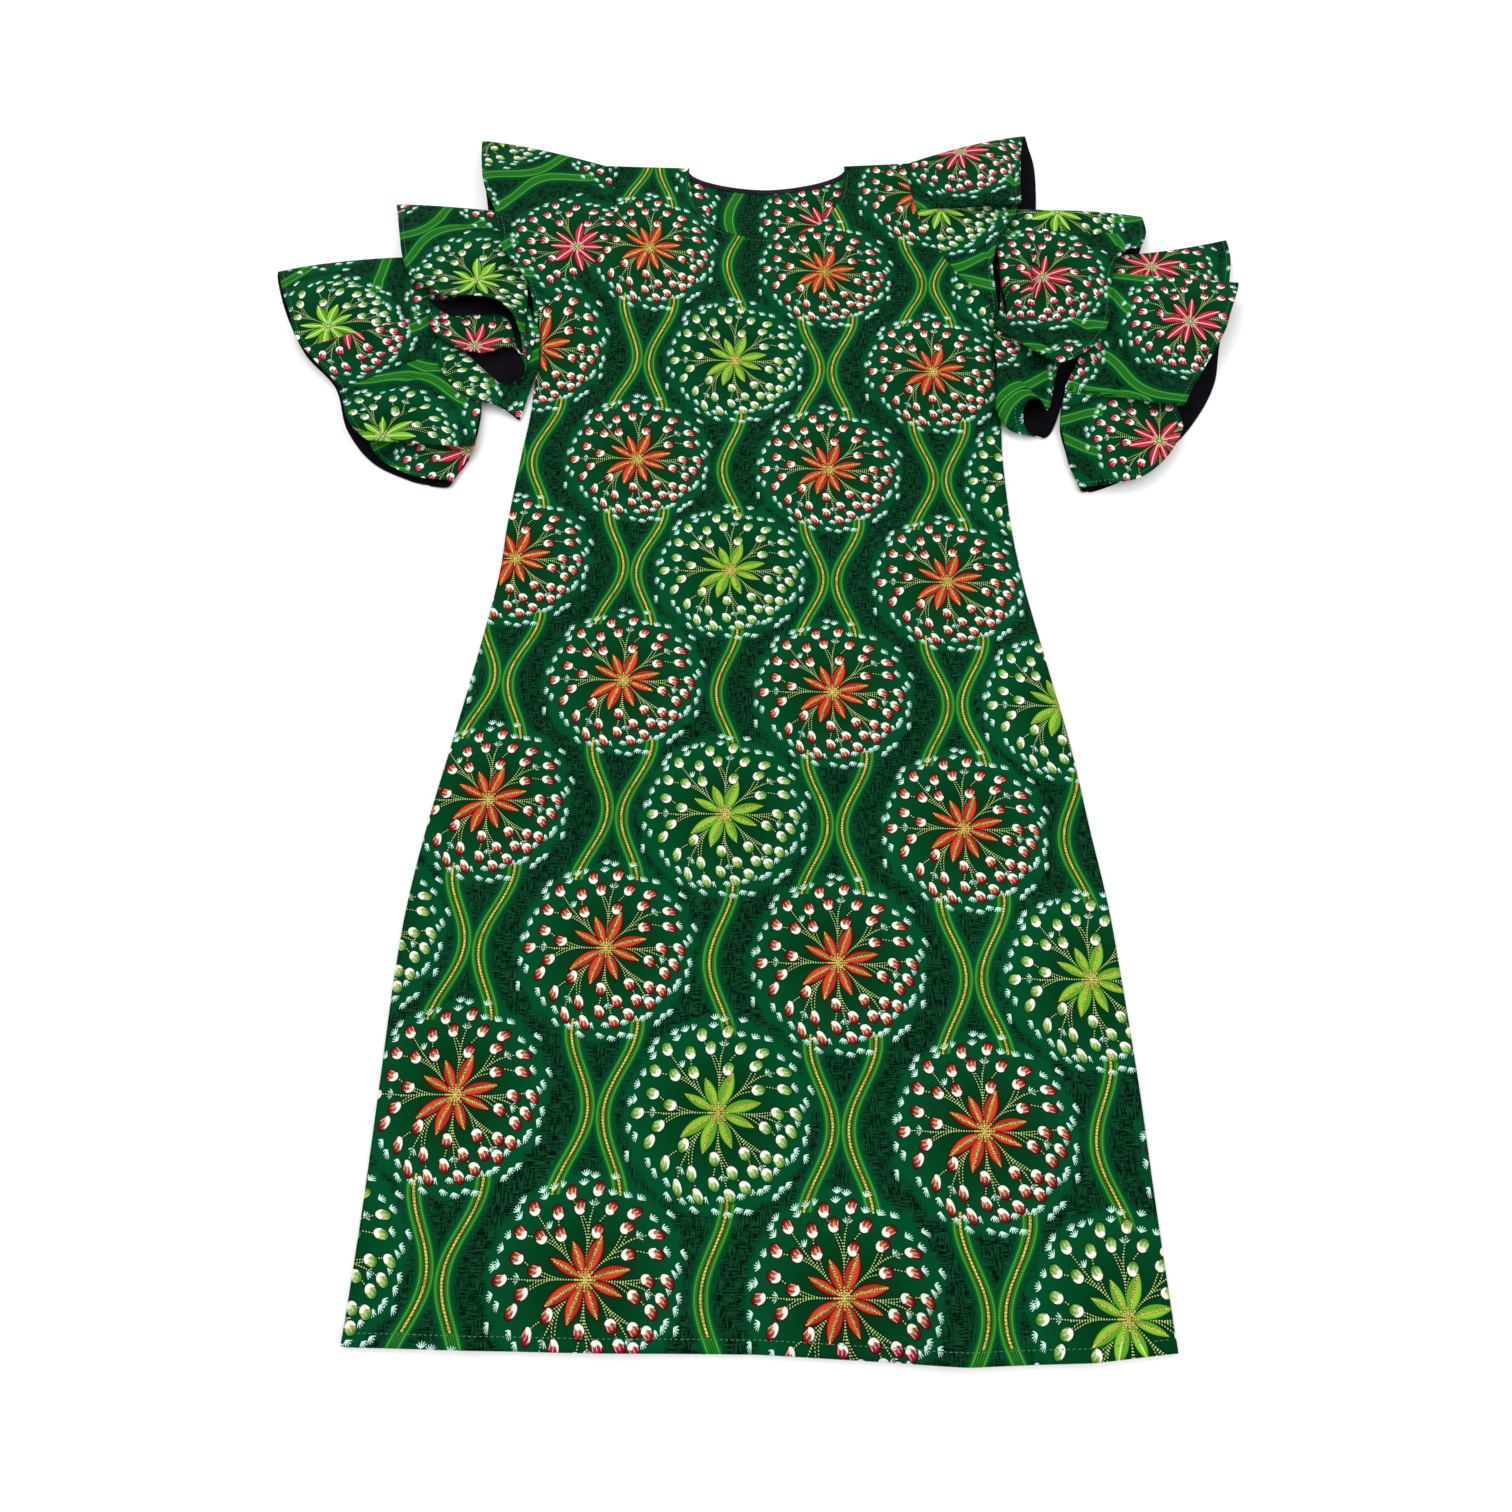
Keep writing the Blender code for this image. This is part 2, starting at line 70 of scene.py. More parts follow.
camera = add_object("camera", bpy.data.cameras.new("camera"))
camera.location = CAMERA_PLACE
camera.rotation_euler = (math.radians(CAMERA_TILT), 0, math.radians(CAMERA_TURN))
camera.data.sensor_width = SENSOR
camera.data.lens = FOCAL_PIXELS / PHOTO_PIXELS * SENSOR
camera.data.clip_start, camera.data.clip_end = NEAREST, FARTHEST
bpy.context.scene.camera = camera
print("lens in mm:", round(camera.data.lens, 2))

# %% [markdown]
# The dress was cut out on white, lit softly from all round, with a little more light from the neck
# end. A white world and three large dim lamps give that, and a white floor takes the faint shadows.
# The standard view keeps the print's colours as saturated as they are in the photo.

# %% Floor and light
FLOOR_HALF, FLOOR_DROP = 6.0, -0.0005
FLOOR_CORNERS = [(-1, -1), (1, -1), (1, 1), (-1, 1)]
FLOOR_COLOUR, FLOOR_ROUGHNESS = (0.98, 0.98, 0.98, 1), 0.9
WORLD_COLOUR, WORLD_STRENGTH = (1, 1, 1, 1), 0.77

# Each lamp's name, place in metres, size in metres and power in watts
LAMPS = [
    ("lamp_neck", (-0.9, 1.9, 2.2), 1.6, 26.0),
    ("lamp_side", (1.9, -0.5, 1.7), 1.4, 16.0),
    ("lamp_hem", (-1.7, -1.3, 1.6), 1.8, 12.0),
]

scene = bpy.context.scene
scene.view_settings.view_transform = "Standard"
scene.world = bpy.data.worlds.new("studio")
scene.world.use_nodes = True
background = scene.world.node_tree.nodes["Background"]
background.inputs["Color"].default_value = WORLD_COLOUR
background.inputs["Strength"].default_value = WORLD_STRENGTH

floor_mesh = bpy.data.meshes.new("floor")
floor_places = [(x * FLOOR_HALF, y * FLOOR_HALF, FLOOR_DROP) for x, y in FLOOR_CORNERS]
floor_mesh.from_pydata(floor_places, [], [(0, 1, 2, 3)])
floor = add_object("floor", floor_mesh)
paper = bpy.data.materials.new("white_paper")
paper.use_nodes = True
paper_shader = paper.node_tree.nodes["Principled BSDF"]
paper_shader.inputs["Base Color"].default_value = FLOOR_COLOUR
paper_shader.inputs["Roughness"].default_value = FLOOR_ROUGHNESS
floor_mesh.materials.append(paper)

for name, place, size, power in LAMPS:
    light = bpy.data.lights.new(name, "AREA")
    light.size = size
    light.energy = power
    lamp = add_object(name, light)
    lamp.location = place
    aim = -lamp.location
    lamp.rotation_euler = aim.to_track_quat("-Z", "Y").to_euler()
print("lamps:", len(LAMPS))

# %% [markdown]
# Cloth follows smooth curves. One helper eases a number from 0 to 1, and another threads a smooth
# curve through the rows of a short table, so a dozen sizes give a whole edge.

# %% Two curve helpers
def smooth(value, low, high):
    """0 below low, 1 above high, and an even S between them: 3t^2 - 2t^3."""
    t = np.clip((value - low) / (high - low), 0, 1)
    return t * t * (3 - 2 * t)


def curve_through(points, samples, closed=False):
    """Places on the smooth curve that passes through every row of points, at samples counted in
    rows. Each stretch is a cubic whose slope at a row is half the step between its neighbours."""
    points, samples = np.asarray(points, float), np.asarray(samples, float)
    count = len(points)
    start = np.floor(samples).astype(int)
    start = start if closed else np.clip(start, 0, count - 2)
    part = (samples - start)[:, None]
    around = [start + step for step in (-1, 0, 1, 2)]
    around = [index % count if closed else np.clip(index, 0, count - 1) for index in around]
    before, here, after, beyond = (points[index] for index in around)
    square, cube = part**2, part**3
    return (
        here * (2 * cube - 3 * square + 1)
        + (after - before) / 2 * (cube - 2 * square + part)
        + after * (3 * square - 2 * cube)
        + (beyond - here) / 2 * (cube - square)
    )


print("halfway up a smooth step:", float(smooth(0.5, 0, 1)))

# %% [markdown]
# The body is an A-line: nearly straight from the chest to a wider hem, with deep armholes that slope
# in to short shoulders. A pattern cutter writes down half widths at heights, and so does this table.
# The front and the back share it, and differ only in how deep their necklines are scooped.

# %% The body's cut
CLOTH, SEAM_GAP = 1.2, 0.3
NECK_HALF, SHOULDER_UP, SHOULDER_SLOPE = 96.0, 1283.0, 0.022
FRONT_NECK_DEPTH, FRONT_NECK_SQUARENESS = 114.0, 2.4
BACK_NECK_DEPTH, BACK_NECK_SQUARENESS = 31.0, 1.65

# The side edges, from the hem corner up to the shoulder point: up, left half, right half
SIDES = [
    (10, 328, 330),
    (110, 326, 327),
    (210, 326, 325),
    (300, 326, 321),
    (365, 323, 317),
    (440, 314, 308),
    (520, 301, 299),
    (610, 287, 284),
    (700, 275, 269),
    (770, 272, 262),
    (850, 266, 260),
    (905, 261, 262),
    (950, 260, 262),
    (1000, 259, 261),
    (1045, 262, 263),
    (1075, 240, 251),
    (1105, 216, 226),
    (1145, 193, 203),
    (1185, 187, 187),
    (1225, 183, 178),
    (1258, 189, 174),
    (SHOULDER_UP, 197, 178),
]

# The hem line, from the left corner to the right one: across (-1 to 1), up
HEM = [(-1, 9), (-0.5, 7), (0, 7), (0.5, 0), (0.8, 4), (1, 11)]

BODY_ROWS, SHOULDER_STEPS, NECK_STEPS = 240, 22, 66
COLUMNS_TURN, ROWS_TURN, HEM_CURVE_UP = (700.0, 1130.0), (860.0, SHOULDER_UP), 400.0


def neck_edge(x, depth, squareness):
    """Height of the top edge at x: the sloping shoulder line, less the scoop inside the neck."""
    reach = np.clip(np.abs(x) / NECK_HALF, 0, 1)
    return SHOULDER_UP + SHOULDER_SLOPE * x - depth * (1 - reach**squareness) ** (1 / squareness)


def panel_plan(neck_depth, squareness):
    """x and y of a body panel's grid, and how far across each point is, -1 to 1. Rows follow the
    side edges, and turn to the hem line below and to the neckline above. Columns are evenly spaced
    at the hem, and turn to the two shoulder seams and the neck's arc at the top."""
    sides = curve_through(SIDES, np.linspace(0, len(SIDES) - 1, BODY_ROWS + 1))
    up = np.minimum(sides[:, 0:1], SHOULDER_UP)
    left, right = -sides[:, 1:2], sides[:, 2:3]
    arc = NECK_HALF * np.sin(np.linspace(-np.pi / 2, np.pi / 2, NECK_STEPS + 1))[None, :]
    inward = np.linspace(0, 1, SHOULDER_STEPS, endpoint=False)[None, :]
    left_shoulder = left + (-NECK_HALF - left) * inward
    right_shoulder = (right + (NECK_HALF - right) * inward)[:, ::-1]
    gathered = np.hstack([left_shoulder, np.repeat(arc, len(up), axis=0), right_shoulder])
    even = np.linspace(0, 1, gathered.shape[1])[None, :]
    spread = left + (right - left) * even
    to_neck = smooth(up, *COLUMNS_TURN)
    x = spread * (1 - to_neck) + gathered * to_neck
    hem_across, hem_up = np.array(HEM, float).T
    hem = np.interp(2 * even - 1, hem_across, hem_up) - SIDES[0][0]
    top = neck_edge(gathered[-1:], neck_depth, squareness) - SHOULDER_UP
    y = up + hem * (1 - smooth(up, 0, HEM_CURVE_UP)) + top * smooth(up, *ROWS_TURN)
    return x, y, (2 * x - left - right) / (right - left)


def side_share(x, y):
    """How far across the body a point is, -1 to 1, from the side edges at its height."""
    up, left, right = np.array(SIDES, float).T
    left, right = -np.interp(y, up, left), np.interp(y, up, right)
    return (2 * x - left - right) / (right - left)


print("body panel grid:", panel_plan(FRONT_NECK_DEPTH, FRONT_NECK_SQUARENESS)[0].shape)

# %% [markdown]
# Cloth that was carried and laid down is never quite flat. Long soft ridges run down the front, as
# they do in the packed model, and on them lie shorter creases: where the armholes pull, where the
# dress was folded across, and near the hem. Each is a line with a bell-shaped cross-section that
# dies away at both ends. All are placed one by one, some as ridges and some as troughs.

# %% Ridges and creases of the front
EDGE_POWER = 1.5
CHEST_LIFT, CHEST_FROM, CHEST_TO = 3.6, 880.0, 1180.0
ARMHOLE_LIFT, ARMHOLE_FROM, ARMHOLE_TO = 9.5, 985.0, 1070.0
RIDGE_CHEST_UP, RIDGE_FOOT, RIDGE_HEAD, RIDGE_CLEAR = 1000.0, 140.0, 200.0, 0.11
HEM_TURN, HEM_TURN_EASE, HEM_TURN_LIFT = 11.5, 2.0, 0.8

# Long soft ridges: x at the hem, x at the chest, foot up, head up, width, height
RIDGES = [
    (-236, -150, -60, 700, 30, 3.2),
    (-120, -84, -80, 520, 36, 2.4),
    (22, 30, 120, 1000, 44, 2.0),
    (150, 112, -80, 600, 34, 3.0),
    (262, 196, -60, 830, 26, 2.6),
    (-205, -168, 620, 1090, 30, 2.6),
    (176, 150, 640, 1120, 32, 2.8),
]

# Shorter creases: from x, from up, to x, to up, width, height (a trough where it is negative)
CREASES = [
    (-206, 1105, -150, 1000, 9, 1.6),
    (-196, 1062, -118, 968, 8, -1.1),
    (-224, 1050, -176, 930, 7, 1.2),
    (212, 1100, 160, 990, 9, 1.7),
    (203, 1052, 128, 955, 8, -1.2),
    (228, 1046, 190, 915, 7, 1.1),
    (-120, 1262, -132, 1150, 8, 1.3),
    (-150, 1245, -158, 1120, 7, -1.0),
    (128, 1268, 138, 1140, 8, 1.4),
    (156, 1240, 166, 1105, 7, -1.0),
    (-60, 1160, -30, 1040, 10, 0.9),
    (48, 1150, 70, 1020, 10, 0.8),
    (-262, 770, -60, 792, 8, 0.7),
    (40, 762, 250, 741, 7, 0.6),
    (-250, 470, -20, 452, 9, 0.6),
    (60, 486, 282, 505, 8, 0.7),
    (-300, 260, -180, 330, 9, 0.8),
    (190, 240, 310, 330, 9, 0.8),
    (-262, 30, -246, 190, 10, 1.2),
    (-60, 20, -52, 150, 9, 0.9),
    (86, 20, 92, 175, 10, 1.0),
    (238, 26, 226, 160, 9, 1.1),
]


def along_line(x, y, x0, y0, x1, y1):
    """How far along the line each point is, 0 to 1, and how far beside it."""
    run_x, run_y = x1 - x0, y1 - y0
    length = math.hypot(run_x, run_y)
    share = ((x - x0) * run_x + (y - y0) * run_y) / length**2
    return share, ((x - x0) * run_y - (y - y0) * run_x) / length


def above_hem(side, y):
    """How far a height is above the hem line, at a share of the way across."""
    return y - np.interp(side, *np.array(HEM, float).T)


def creases(x, y):
    """Sum of the short creases: a bell across each line, and a sine's half wave along it."""
    total = np.zeros_like(x)
    for x0, y0, x1, y1, width, height in CREASES:
        share, beside = along_line(x, y, x0, y0, x1, y1)
        total = total + height * np.sin(np.pi * np.clip(share, 0, 1)) * np.exp(-((beside / width) ** 2))
    return total


def front_lift(x, y, side):
    """Height of the front panel's underside over the back panel: a lift towards the armhole seams
    and over the chest, ridges and creases that die out beside the seams, and the turned hem's extra
    cloth along the bottom. side is -1 to 1 across."""
    edge = np.abs(side) ** EDGE_POWER
    seam = ARMHOLE_LIFT * smooth(y, ARMHOLE_FROM, ARMHOLE_TO) * edge
    chest = CHEST_LIFT * smooth(y, CHEST_FROM, CHEST_TO) * (1 - edge)
    ridges = creases(x, y)
    for hem_x, chest_x, foot, head, width, height in RIDGES:
        middle = hem_x + (chest_x - hem_x) * y / RIDGE_CHEST_UP
        ends = smooth(y, foot, foot + RIDGE_FOOT) * (1 - smooth(y, head - RIDGE_HEAD, head))
        ridges = ridges + height * ends * np.exp(-(((x - middle) / width) ** 2))
    beside_seam = np.clip((1 - np.abs(side)) / RIDGE_CLEAR, 0, 1)
    fold = smooth(above_hem(side, y), HEM_TURN - HEM_TURN_EASE, HEM_TURN + HEM_TURN_EASE)
    return SEAM_GAP + HEM_TURN_LIFT * (1 - fold) + np.maximum(seam + chest + ridges * beside_seam, 0)


print("creases:", len(CREASES), "ridges:", len(RIDGES))

# %% [markdown]
# Every piece of cloth is a grid of points with a print coordinate at each, and Solidify makes it a
# wall with an outside and an inside material. A flounce is a ring, so its last row joins its first.
# The print doesn't close up, and a seam cuts it, so each strip of faces has its own coordinates.

# %% Cloth from a grid
CLOTH_WALL = 0.9


def strips(prints):
    """Print coordinates on the grid's points, as the lower and upper row of each strip of faces."""
    return np.stack([prints[:-1], prints[1:]], axis=1)


def cloth(
    name, points, prints, outside, inside, thickness=CLOTH_WALL, offset=-1.0, flip=False, bare_strips=0
):
    """A mesh object from a rows by columns grid of points in dress millimetres, with prints, the
    flat cloth's own coordinates in metres, as its UV map. With as many strips as rows it is a ring.
    A face between rows low and high takes its corners in the order low c, low c + 1, high c + 1,
    high c, or reversed by flip. The first bare_strips strips have the inside material on both sides."""
    rows, columns = points.shape[:2]
    index = np.arange(rows * columns).reshape(rows, columns)

    def four_corners(low, high):
        four = [low[:, :-1], low[:, 1:], high[:, 1:], high[:, :-1]]
        return np.stack(four[::-1] if flip else four, axis=2)

    faces = four_corners(index, np.roll(index, -1, axis=0))[: len(prints)]
    mesh = bpy.data.meshes.new(name)
    places = (points.reshape(-1, 3) + DRESS_TO_FRAME) * MM
    mesh.from_pydata(places.tolist(), [], faces.reshape(-1, 4).tolist())
    layer = mesh.uv_layers.new(name="print")
    layer.data.foreach_set("uv", four_corners(prints[:, 0], prints[:, 1]).astype(np.float32).ravel())
    mesh.shade_smooth()
    mesh.materials.append(outside)
    mesh.materials.append(inside)
    for polygon in mesh.polygons[: bare_strips * (columns - 1)]:
        polygon.material_index = 1
    piece = add_object(name, mesh)
    wall = piece.modifiers.new("Cloth wall", "SOLIDIFY")
    wall.thickness = thickness * MM
    wall.offset = offset
    wall.material_offset = 1
    return piece


print("cloth wall in mm:", CLOTH_WALL)

# %% [markdown]
# Shader maths reads best as plain formulas. This small class wraps a node's output, so that
# `1 - mask` or `across * 2` adds the Math nodes by itself. Colours are mixed by Mix nodes, and every
# other node comes from one method that takes its type, its settings and what its sockets get.

# %% Formulas as nodes
class Socket:
    """An output of a node, in the tree that it belongs to."""

    def __init__(self, tree, output):
        self.tree, self.output = tree, output

    def math(self, operation, *others, clamp=False):
        settings = {"operation": operation, "use_clamp": clamp}
        return add_node(self.tree, "ShaderNodeMath", settings, dict(enumerate((self, *others))))

    def __add__(self, other):
        return self.math("ADD", other)

    def __sub__(self, other):
        return self.math("SUBTRACT", other)

    def __mul__(self, other):
        return self.math("MULTIPLY", other)

    def __truediv__(self, other):
        return self.math("DIVIDE", other)

    def __neg__(self):
        return self.math("MULTIPLY", -1.0)

    def __abs__(self):
        return self.math("ABSOLUTE")

    def __rsub__(self, other):
        return self.math("MULTIPLY_ADD", -1.0, other)

    __radd__, __rmul__ = __add__, __mul__

    def under(self, limit, soft=0.3):
        """1 where this is under limit, 0 over it, with an edge soft wide. limit may be a socket."""
        if isinstance(limit, Socket):
            return (limit - self).math("MULTIPLY_ADD", 1 / soft, 0.5, clamp=True)
        return self.math("MULTIPLY_ADD", -1 / soft, limit / soft + 0.5, clamp=True)

    def over(self, limit, soft=0.3):
        """1 where this is over limit, 0 under it, with an edge soft wide."""
        return self.math("MULTIPLY_ADD", 1 / soft, 0.5 - limit / soft, clamp=True)

    def fold(self):
        """How far this is from the nearest whole number, -0.5 to 0.5."""
        return self - self.math("ROUND")

    def times(self, factor, plus):
        """This times factor, plus another number or socket, in one node."""
        return self.math("MULTIPLY_ADD", factor, plus)

    def sine(self, times=1.0, plus=0.0):
        """The sine of this times a number, plus another."""
        return self.times(times, plus).math("SINE")


print("the wrapper knows:", ", ".join(name for name in vars(Socket) if not name.startswith("_")))

# %% [markdown]
# A few helpers add the nodes that the formulas don't: mixes of numbers and colours, vectors, noise,
# and the print map, which each piece carries as its own coordinates.

# %% Helpers for nodes
def feed(node, values):
    """Gives a node's inputs their values, or links where a value is a socket."""
    for key, value in values.items():
        if isinstance(value, Socket):
            value.tree.links.new(value.output, node.inputs[key])
        else:
            node.inputs[key].default_value = value


def add_node(tree, kind, settings=None, values=None, output=0):
    """Adds a node, sets its settings and feeds its inputs."""
    node = tree.nodes.new(kind)
    for key, value in (settings or {}).items():
        setattr(node, key, value)
    feed(node, values or {})
    return Socket(tree, node.outputs[output])


def mix(first, second, share):
    """first where share is 0, second where it is 1, for numbers or sockets of numbers."""
    values = {0: share, 2: first, 3: second}
    return add_node(share.tree, "ShaderNodeMix", {"data_type": "FLOAT"}, values)


def paint(under, colour, share):
    """A colour laid over another, by share. Either may be a socket or four numbers."""
    values = {0: share, 6: under, 7: colour}
    return add_node(share.tree, "ShaderNodeMix", {"data_type": "RGBA"}, values, output=2)


def vector_math(operation, first, *others):
    """A formula on vectors, which may be three constants. A length is a number."""
    output = 1 if operation == "LENGTH" else 0
    values = dict(enumerate((first, *others)))
    return add_node(first.tree, "ShaderNodeVectorMath", {"operation": operation}, values, output)


def pair(tree, x, y):
    """A vector of two numbers or sockets."""
    return add_node(tree, "ShaderNodeCombineXYZ", None, {0: x, 1: y})


def split(tree, vector):
    """The first two parts of a vector."""
    parts = add_node(tree, "ShaderNodeSeparateXYZ", None, {0: vector})
    return parts, Socket(tree, parts.output.node.outputs[1])


def print_map(tree):
    """The piece's print coordinates, in millimetres."""
    u, v = split(tree, add_node(tree, "ShaderNodeUVMap", {"uv_map": "print"}))
    return u * 1000, v * 1000


def noise(tree, x, y, scale, detail=2.0, roughness=0.5):
    """Soft noise, 0 to 1, at places x and y in millimetres, with features 1000 / scale mm wide."""
    settings = {"noise_dimensions": "2D"}
    values = {"Vector": pair(tree, x, y), "Scale": scale / 1000, "Detail": detail, "Roughness": roughness}
    return add_node(tree, "ShaderNodeTexNoise", settings, values)


def linear(red, green, blue):
    """A colour as painters give it, 0 to 255, in the linear numbers that a shader takes."""
    part = np.array([red, green, blue]) / 255
    part = np.where(part <= 0.04045, part / 12.92, ((part + 0.055) / 1.055) ** 2.4)
    return (*part.tolist(), 1.0)


print("mid grey in linear:", round(linear(128, 128, 128)[0], 3))

# %% [markdown]
# The print repeats: flower heads stand in columns, and each column is shifted half a repeat from its
# neighbours. Two columns of red heads are followed by one of lime. A head is nearly as wide as two
# columns, so a point belongs to the nearer of the heads of the column on its left and on its right.
# Wax prints are printed a little askew, and this one drops as it goes to the right.

# %% The lattice of flower heads
THREE_COLUMNS, COLUMN_PLACES, REPEAT_UP = 329.0, (0.0, 104.0, 225.0), 264.0
FIRST_HEAD_UP, LIME_COLUMN_X, DROP = 184.0, -35.0, 0.055


def print_lattice(tree):
    """Reads the print map and returns, in millimetres: across and up from the nearest head's
    middle, whether it is lime, then the same for the nearest column, across from its axis."""
    u, v = print_map(tree)
    repeats = (u / THREE_COLUMNS).math("FLOOR")
    along = u - repeats * THREE_COLUMNS
    past_first = along.over(COLUMN_PLACES[1], 0.01)
    past_second = along.over(COLUMN_PLACES[2], 0.01)
    steps = np.diff([*COLUMN_PLACES, THREE_COLUMNS])
    left_place = past_first * steps[0] + past_second * steps[1]
    right_place = past_first * steps[1] + past_second * steps[2] + steps[0]
    number = repeats * 3 + past_first + past_second
    odd = number.math("FLOORED_MODULO", 2.0)
    sides = []
    for place, half_drop in ((left_place, odd), (right_place, 1 - odd)):
        across = along - place
        level = v + (repeats * THREE_COLUMNS + place) * DROP - half_drop * (REPEAT_UP / 2)
        sides.append((across, (level / REPEAT_UP).fold() * REPEAT_UP))
    (left_x, left_y), (right_x, right_y) = sides
    left_far, right_far = (x * x + y * y for x, y in sides)
    right_nearer = right_far.math("LESS_THAN", left_far)
    lime_left, lime_right = 1 - past_first, past_second
    head = [mix(left_x, right_x, right_nearer), mix(left_y, right_y, right_nearer)]
    head_lime = mix(lime_left, lime_right, right_nearer)
    right_column = abs(right_x).math("LESS_THAN", abs(left_x))
    column = [mix(left_x, right_x, right_column), mix(left_y, right_y, right_column)]
    column_lime = mix(lime_left, lime_right, right_column)
    return u, v, (*head, head_lime), (*column, column_lime)


print("heads are", REPEAT_UP, "mm apart up the cloth")

# %% [markdown]
# A head has eight pointed petals and, between them, eight sprays of buds on dotted stems, with small
# white claws all round. One spray is drawn, and the angle is folded so that it appears eight times.
# Before the fold the angle is bent more and more outwards, so that the stems sweep to one side or the
# other, and sines of the spray's own angle move its buds about, so no two sprays are alike.

# %% Buds and claws round a head
HEAD_SPRAYS = 8
BUD_HALF_LENGTH, BUD_HALF_WIDTH, BUD_SPREAD = 5.5, 4.5, 2.6

# The buds of a spray: distance from the middle, turn in degrees, where their stem leaves the ray
BUDS = [(39, -10, 14), (51, 9, 22), (66, -2, 36), (57, -14.5, 22), (64, 15, 32)]

# The claws of a spray: distance from the middle and turn in degrees
CLAWS = [(73, -18.5), (79, -9.5), (77, 1), (80, 8), (71, 21), (70, -11), (54, -2), (70, 8)]
CLAW_SPREAD, CLAW_REACH, CLAW_ROOT = 3.2, 5.4, 2.9

# Item n of a spray wanders outward by a sine of phase n * PHASE_STEP, and sideways as item
# n + SIDEWAYS_STEP does
PHASE_STEP, SIDEWAYS_STEP = 1.7, 5


def sine_of(angle, times, plus):
    """sin(times * angle + plus), for a socket or for an array."""
    return angle.sine(times, plus) if isinstance(angle, Socket) else np.sin(times * angle + plus)


def wander(angle, number, size):
    """A repeatable shift for one item of a spray, from -size to size, by the spray's angle."""
    return sine_of(angle, 1 + number % 3, PHASE_STEP * number) * size


def spray_waves(angle):
    """The sines and the cosines of one, two and three times the spray's angle."""
    several = [angle * times for times in (1, 2, 3)]
    return [[each.math(name) for each in several] for name in ("SINE", "COSINE")]


def nearest_item(places, radius, arc, turn, waves, spread, first_number):
    """Outward and sideways distance to the nearest of a spray's items, each moved by wander. All
    items share the few waves, as sin(t a + p) = sin(t a) cos p + cos(t a) sin p, and a vector holds
    both ways. Item n moves outward by wave n % 3 and sideways by wave (n + 2) % 3."""
    tree, best = radius.tree, None
    point, stretch = pair(tree, radius, turn), pair(tree, 1.0, arc)
    sines, cosines = ([pair(tree, part[n], part[(n + 2) % 3]) for n in range(3)] for part in waves)
    for number, (away, degrees, *_) in enumerate(places, start=first_number):
        sizes = -np.array([spread, spread / 2 / away, 0.0])
        phases = PHASE_STEP * np.array([number, number + SIDEWAYS_STEP, 0])
        place = vector_math("ADD", point, (-away, -math.radians(degrees), 0.0))
        for wave, share in ((sines, np.cos(phases)), (cosines, np.sin(phases))):
            place = vector_math("MULTIPLY_ADD", wave[number % 3], (sizes * share).tolist(), place)
        place = vector_math("MULTIPLY", place, stretch)
        far = vector_math("LENGTH", place)
        if best is None:
            best = (place, far)
            continue
        closer = far.math("LESS_THAN", best[1])
        values = {0: closer, 4: best[0], 5: place}
        settings = {"data_type": "VECTOR"}
        best = (add_node(tree, "ShaderNodeMix", settings, values, output=1), far.math("MINIMUM", best[1]))
    return split(tree, best[0])


print("each head has", HEAD_SPRAYS * len(BUDS), "buds and", HEAD_SPRAYS * len(CLAWS), "claws")

# %% [markdown]
# Petals, dotted lines and the spray's stems are distances too: how far a point is inside a petal's
# edge, from the nearest dot of a line, or beside the nearest stem.

# %% Angles, petals, dots and stems of a spray
PETAL_LENGTH, PETAL_HALF_WIDTH, PETAL_START = 31.0, 4.7, 3.0
PETAL_TURN, PETAL_GROWTH, PETAL_SWELL = 0.1, 3.6, 0.9
DOT_PITCH, DOT_RADIUS = 2.2, 0.56

# Where the ray's own stem ends, how far short of its bud a branch ends, and a distance for no stem
RAY_END, BRANCH_SHORT, FAR_AWAY = 48, 2, 50

# The bend of the angle at BEND_RADIUS: two sines of it, as times, plus, size in radians
BENDS = [(1, 0.8, 0.24), (2, 2.0, 0.12)]
BEND_RADIUS = 70.0


def head_angles(x, y):
    """Distance from a head's middle, the length of a radian of the bent angle there, and the bent
    angle folded twice: about the rays that the sprays grow on, and about the petals between them,
    each with its own fold's angle."""
    square = x * x + y * y
    radius = square.math("SQRT")
    angle = y.math("ARCTAN2", x)
    bend, spacing = 0.0, 0.0
    for times, plus, size in BENDS:
        bend = angle.sine(times, plus).times(size, bend)
        spacing = angle.sine(times, plus + math.pi / 2).times(size * times, spacing)
    share_of_bend = square / BEND_RADIUS**2
    angle = angle + bend * share_of_bend
    arc = radius / (spacing * share_of_bend + 1)
    share = 2 * math.pi / HEAD_SPRAYS
    turns = angle / share
    ray = turns.math("ROUND")
    petal = (turns + 0.5).math("ROUND") - 0.5
    return radius, arc, (turns - ray) * share, ray * share, (turns - petal) * share, petal * share


def petals(radius, turn, petal_angle):
    """How far inside a petal's edge a point is, then its places along and beside the midline. A
    petal's half width is PETAL_HALF_WIDTH * 4 * s * (1 - s), where s goes from 0 to 1 along it."""
    turn = turn - wander(petal_angle, 2, PETAL_TURN)
    along = radius * turn.math("COSINE")
    beside = radius * turn.math("SINE")
    length = wander(petal_angle, 4, PETAL_GROWTH) + PETAL_LENGTH
    share = ((along - PETAL_START) / length).math("MAXIMUM", 0.0)
    width = (wander(petal_angle, 7, PETAL_SWELL) + PETAL_HALF_WIDTH) * 4
    return share * (1 - share) * width - abs(beside), along, beside


def dotted(along, across, pitch, radius):
    """Round dots along a line, one every pitch."""
    step = (along / pitch).fold() * pitch
    return ((step * step + across * across).math("SQRT")).under(radius, 0.35)


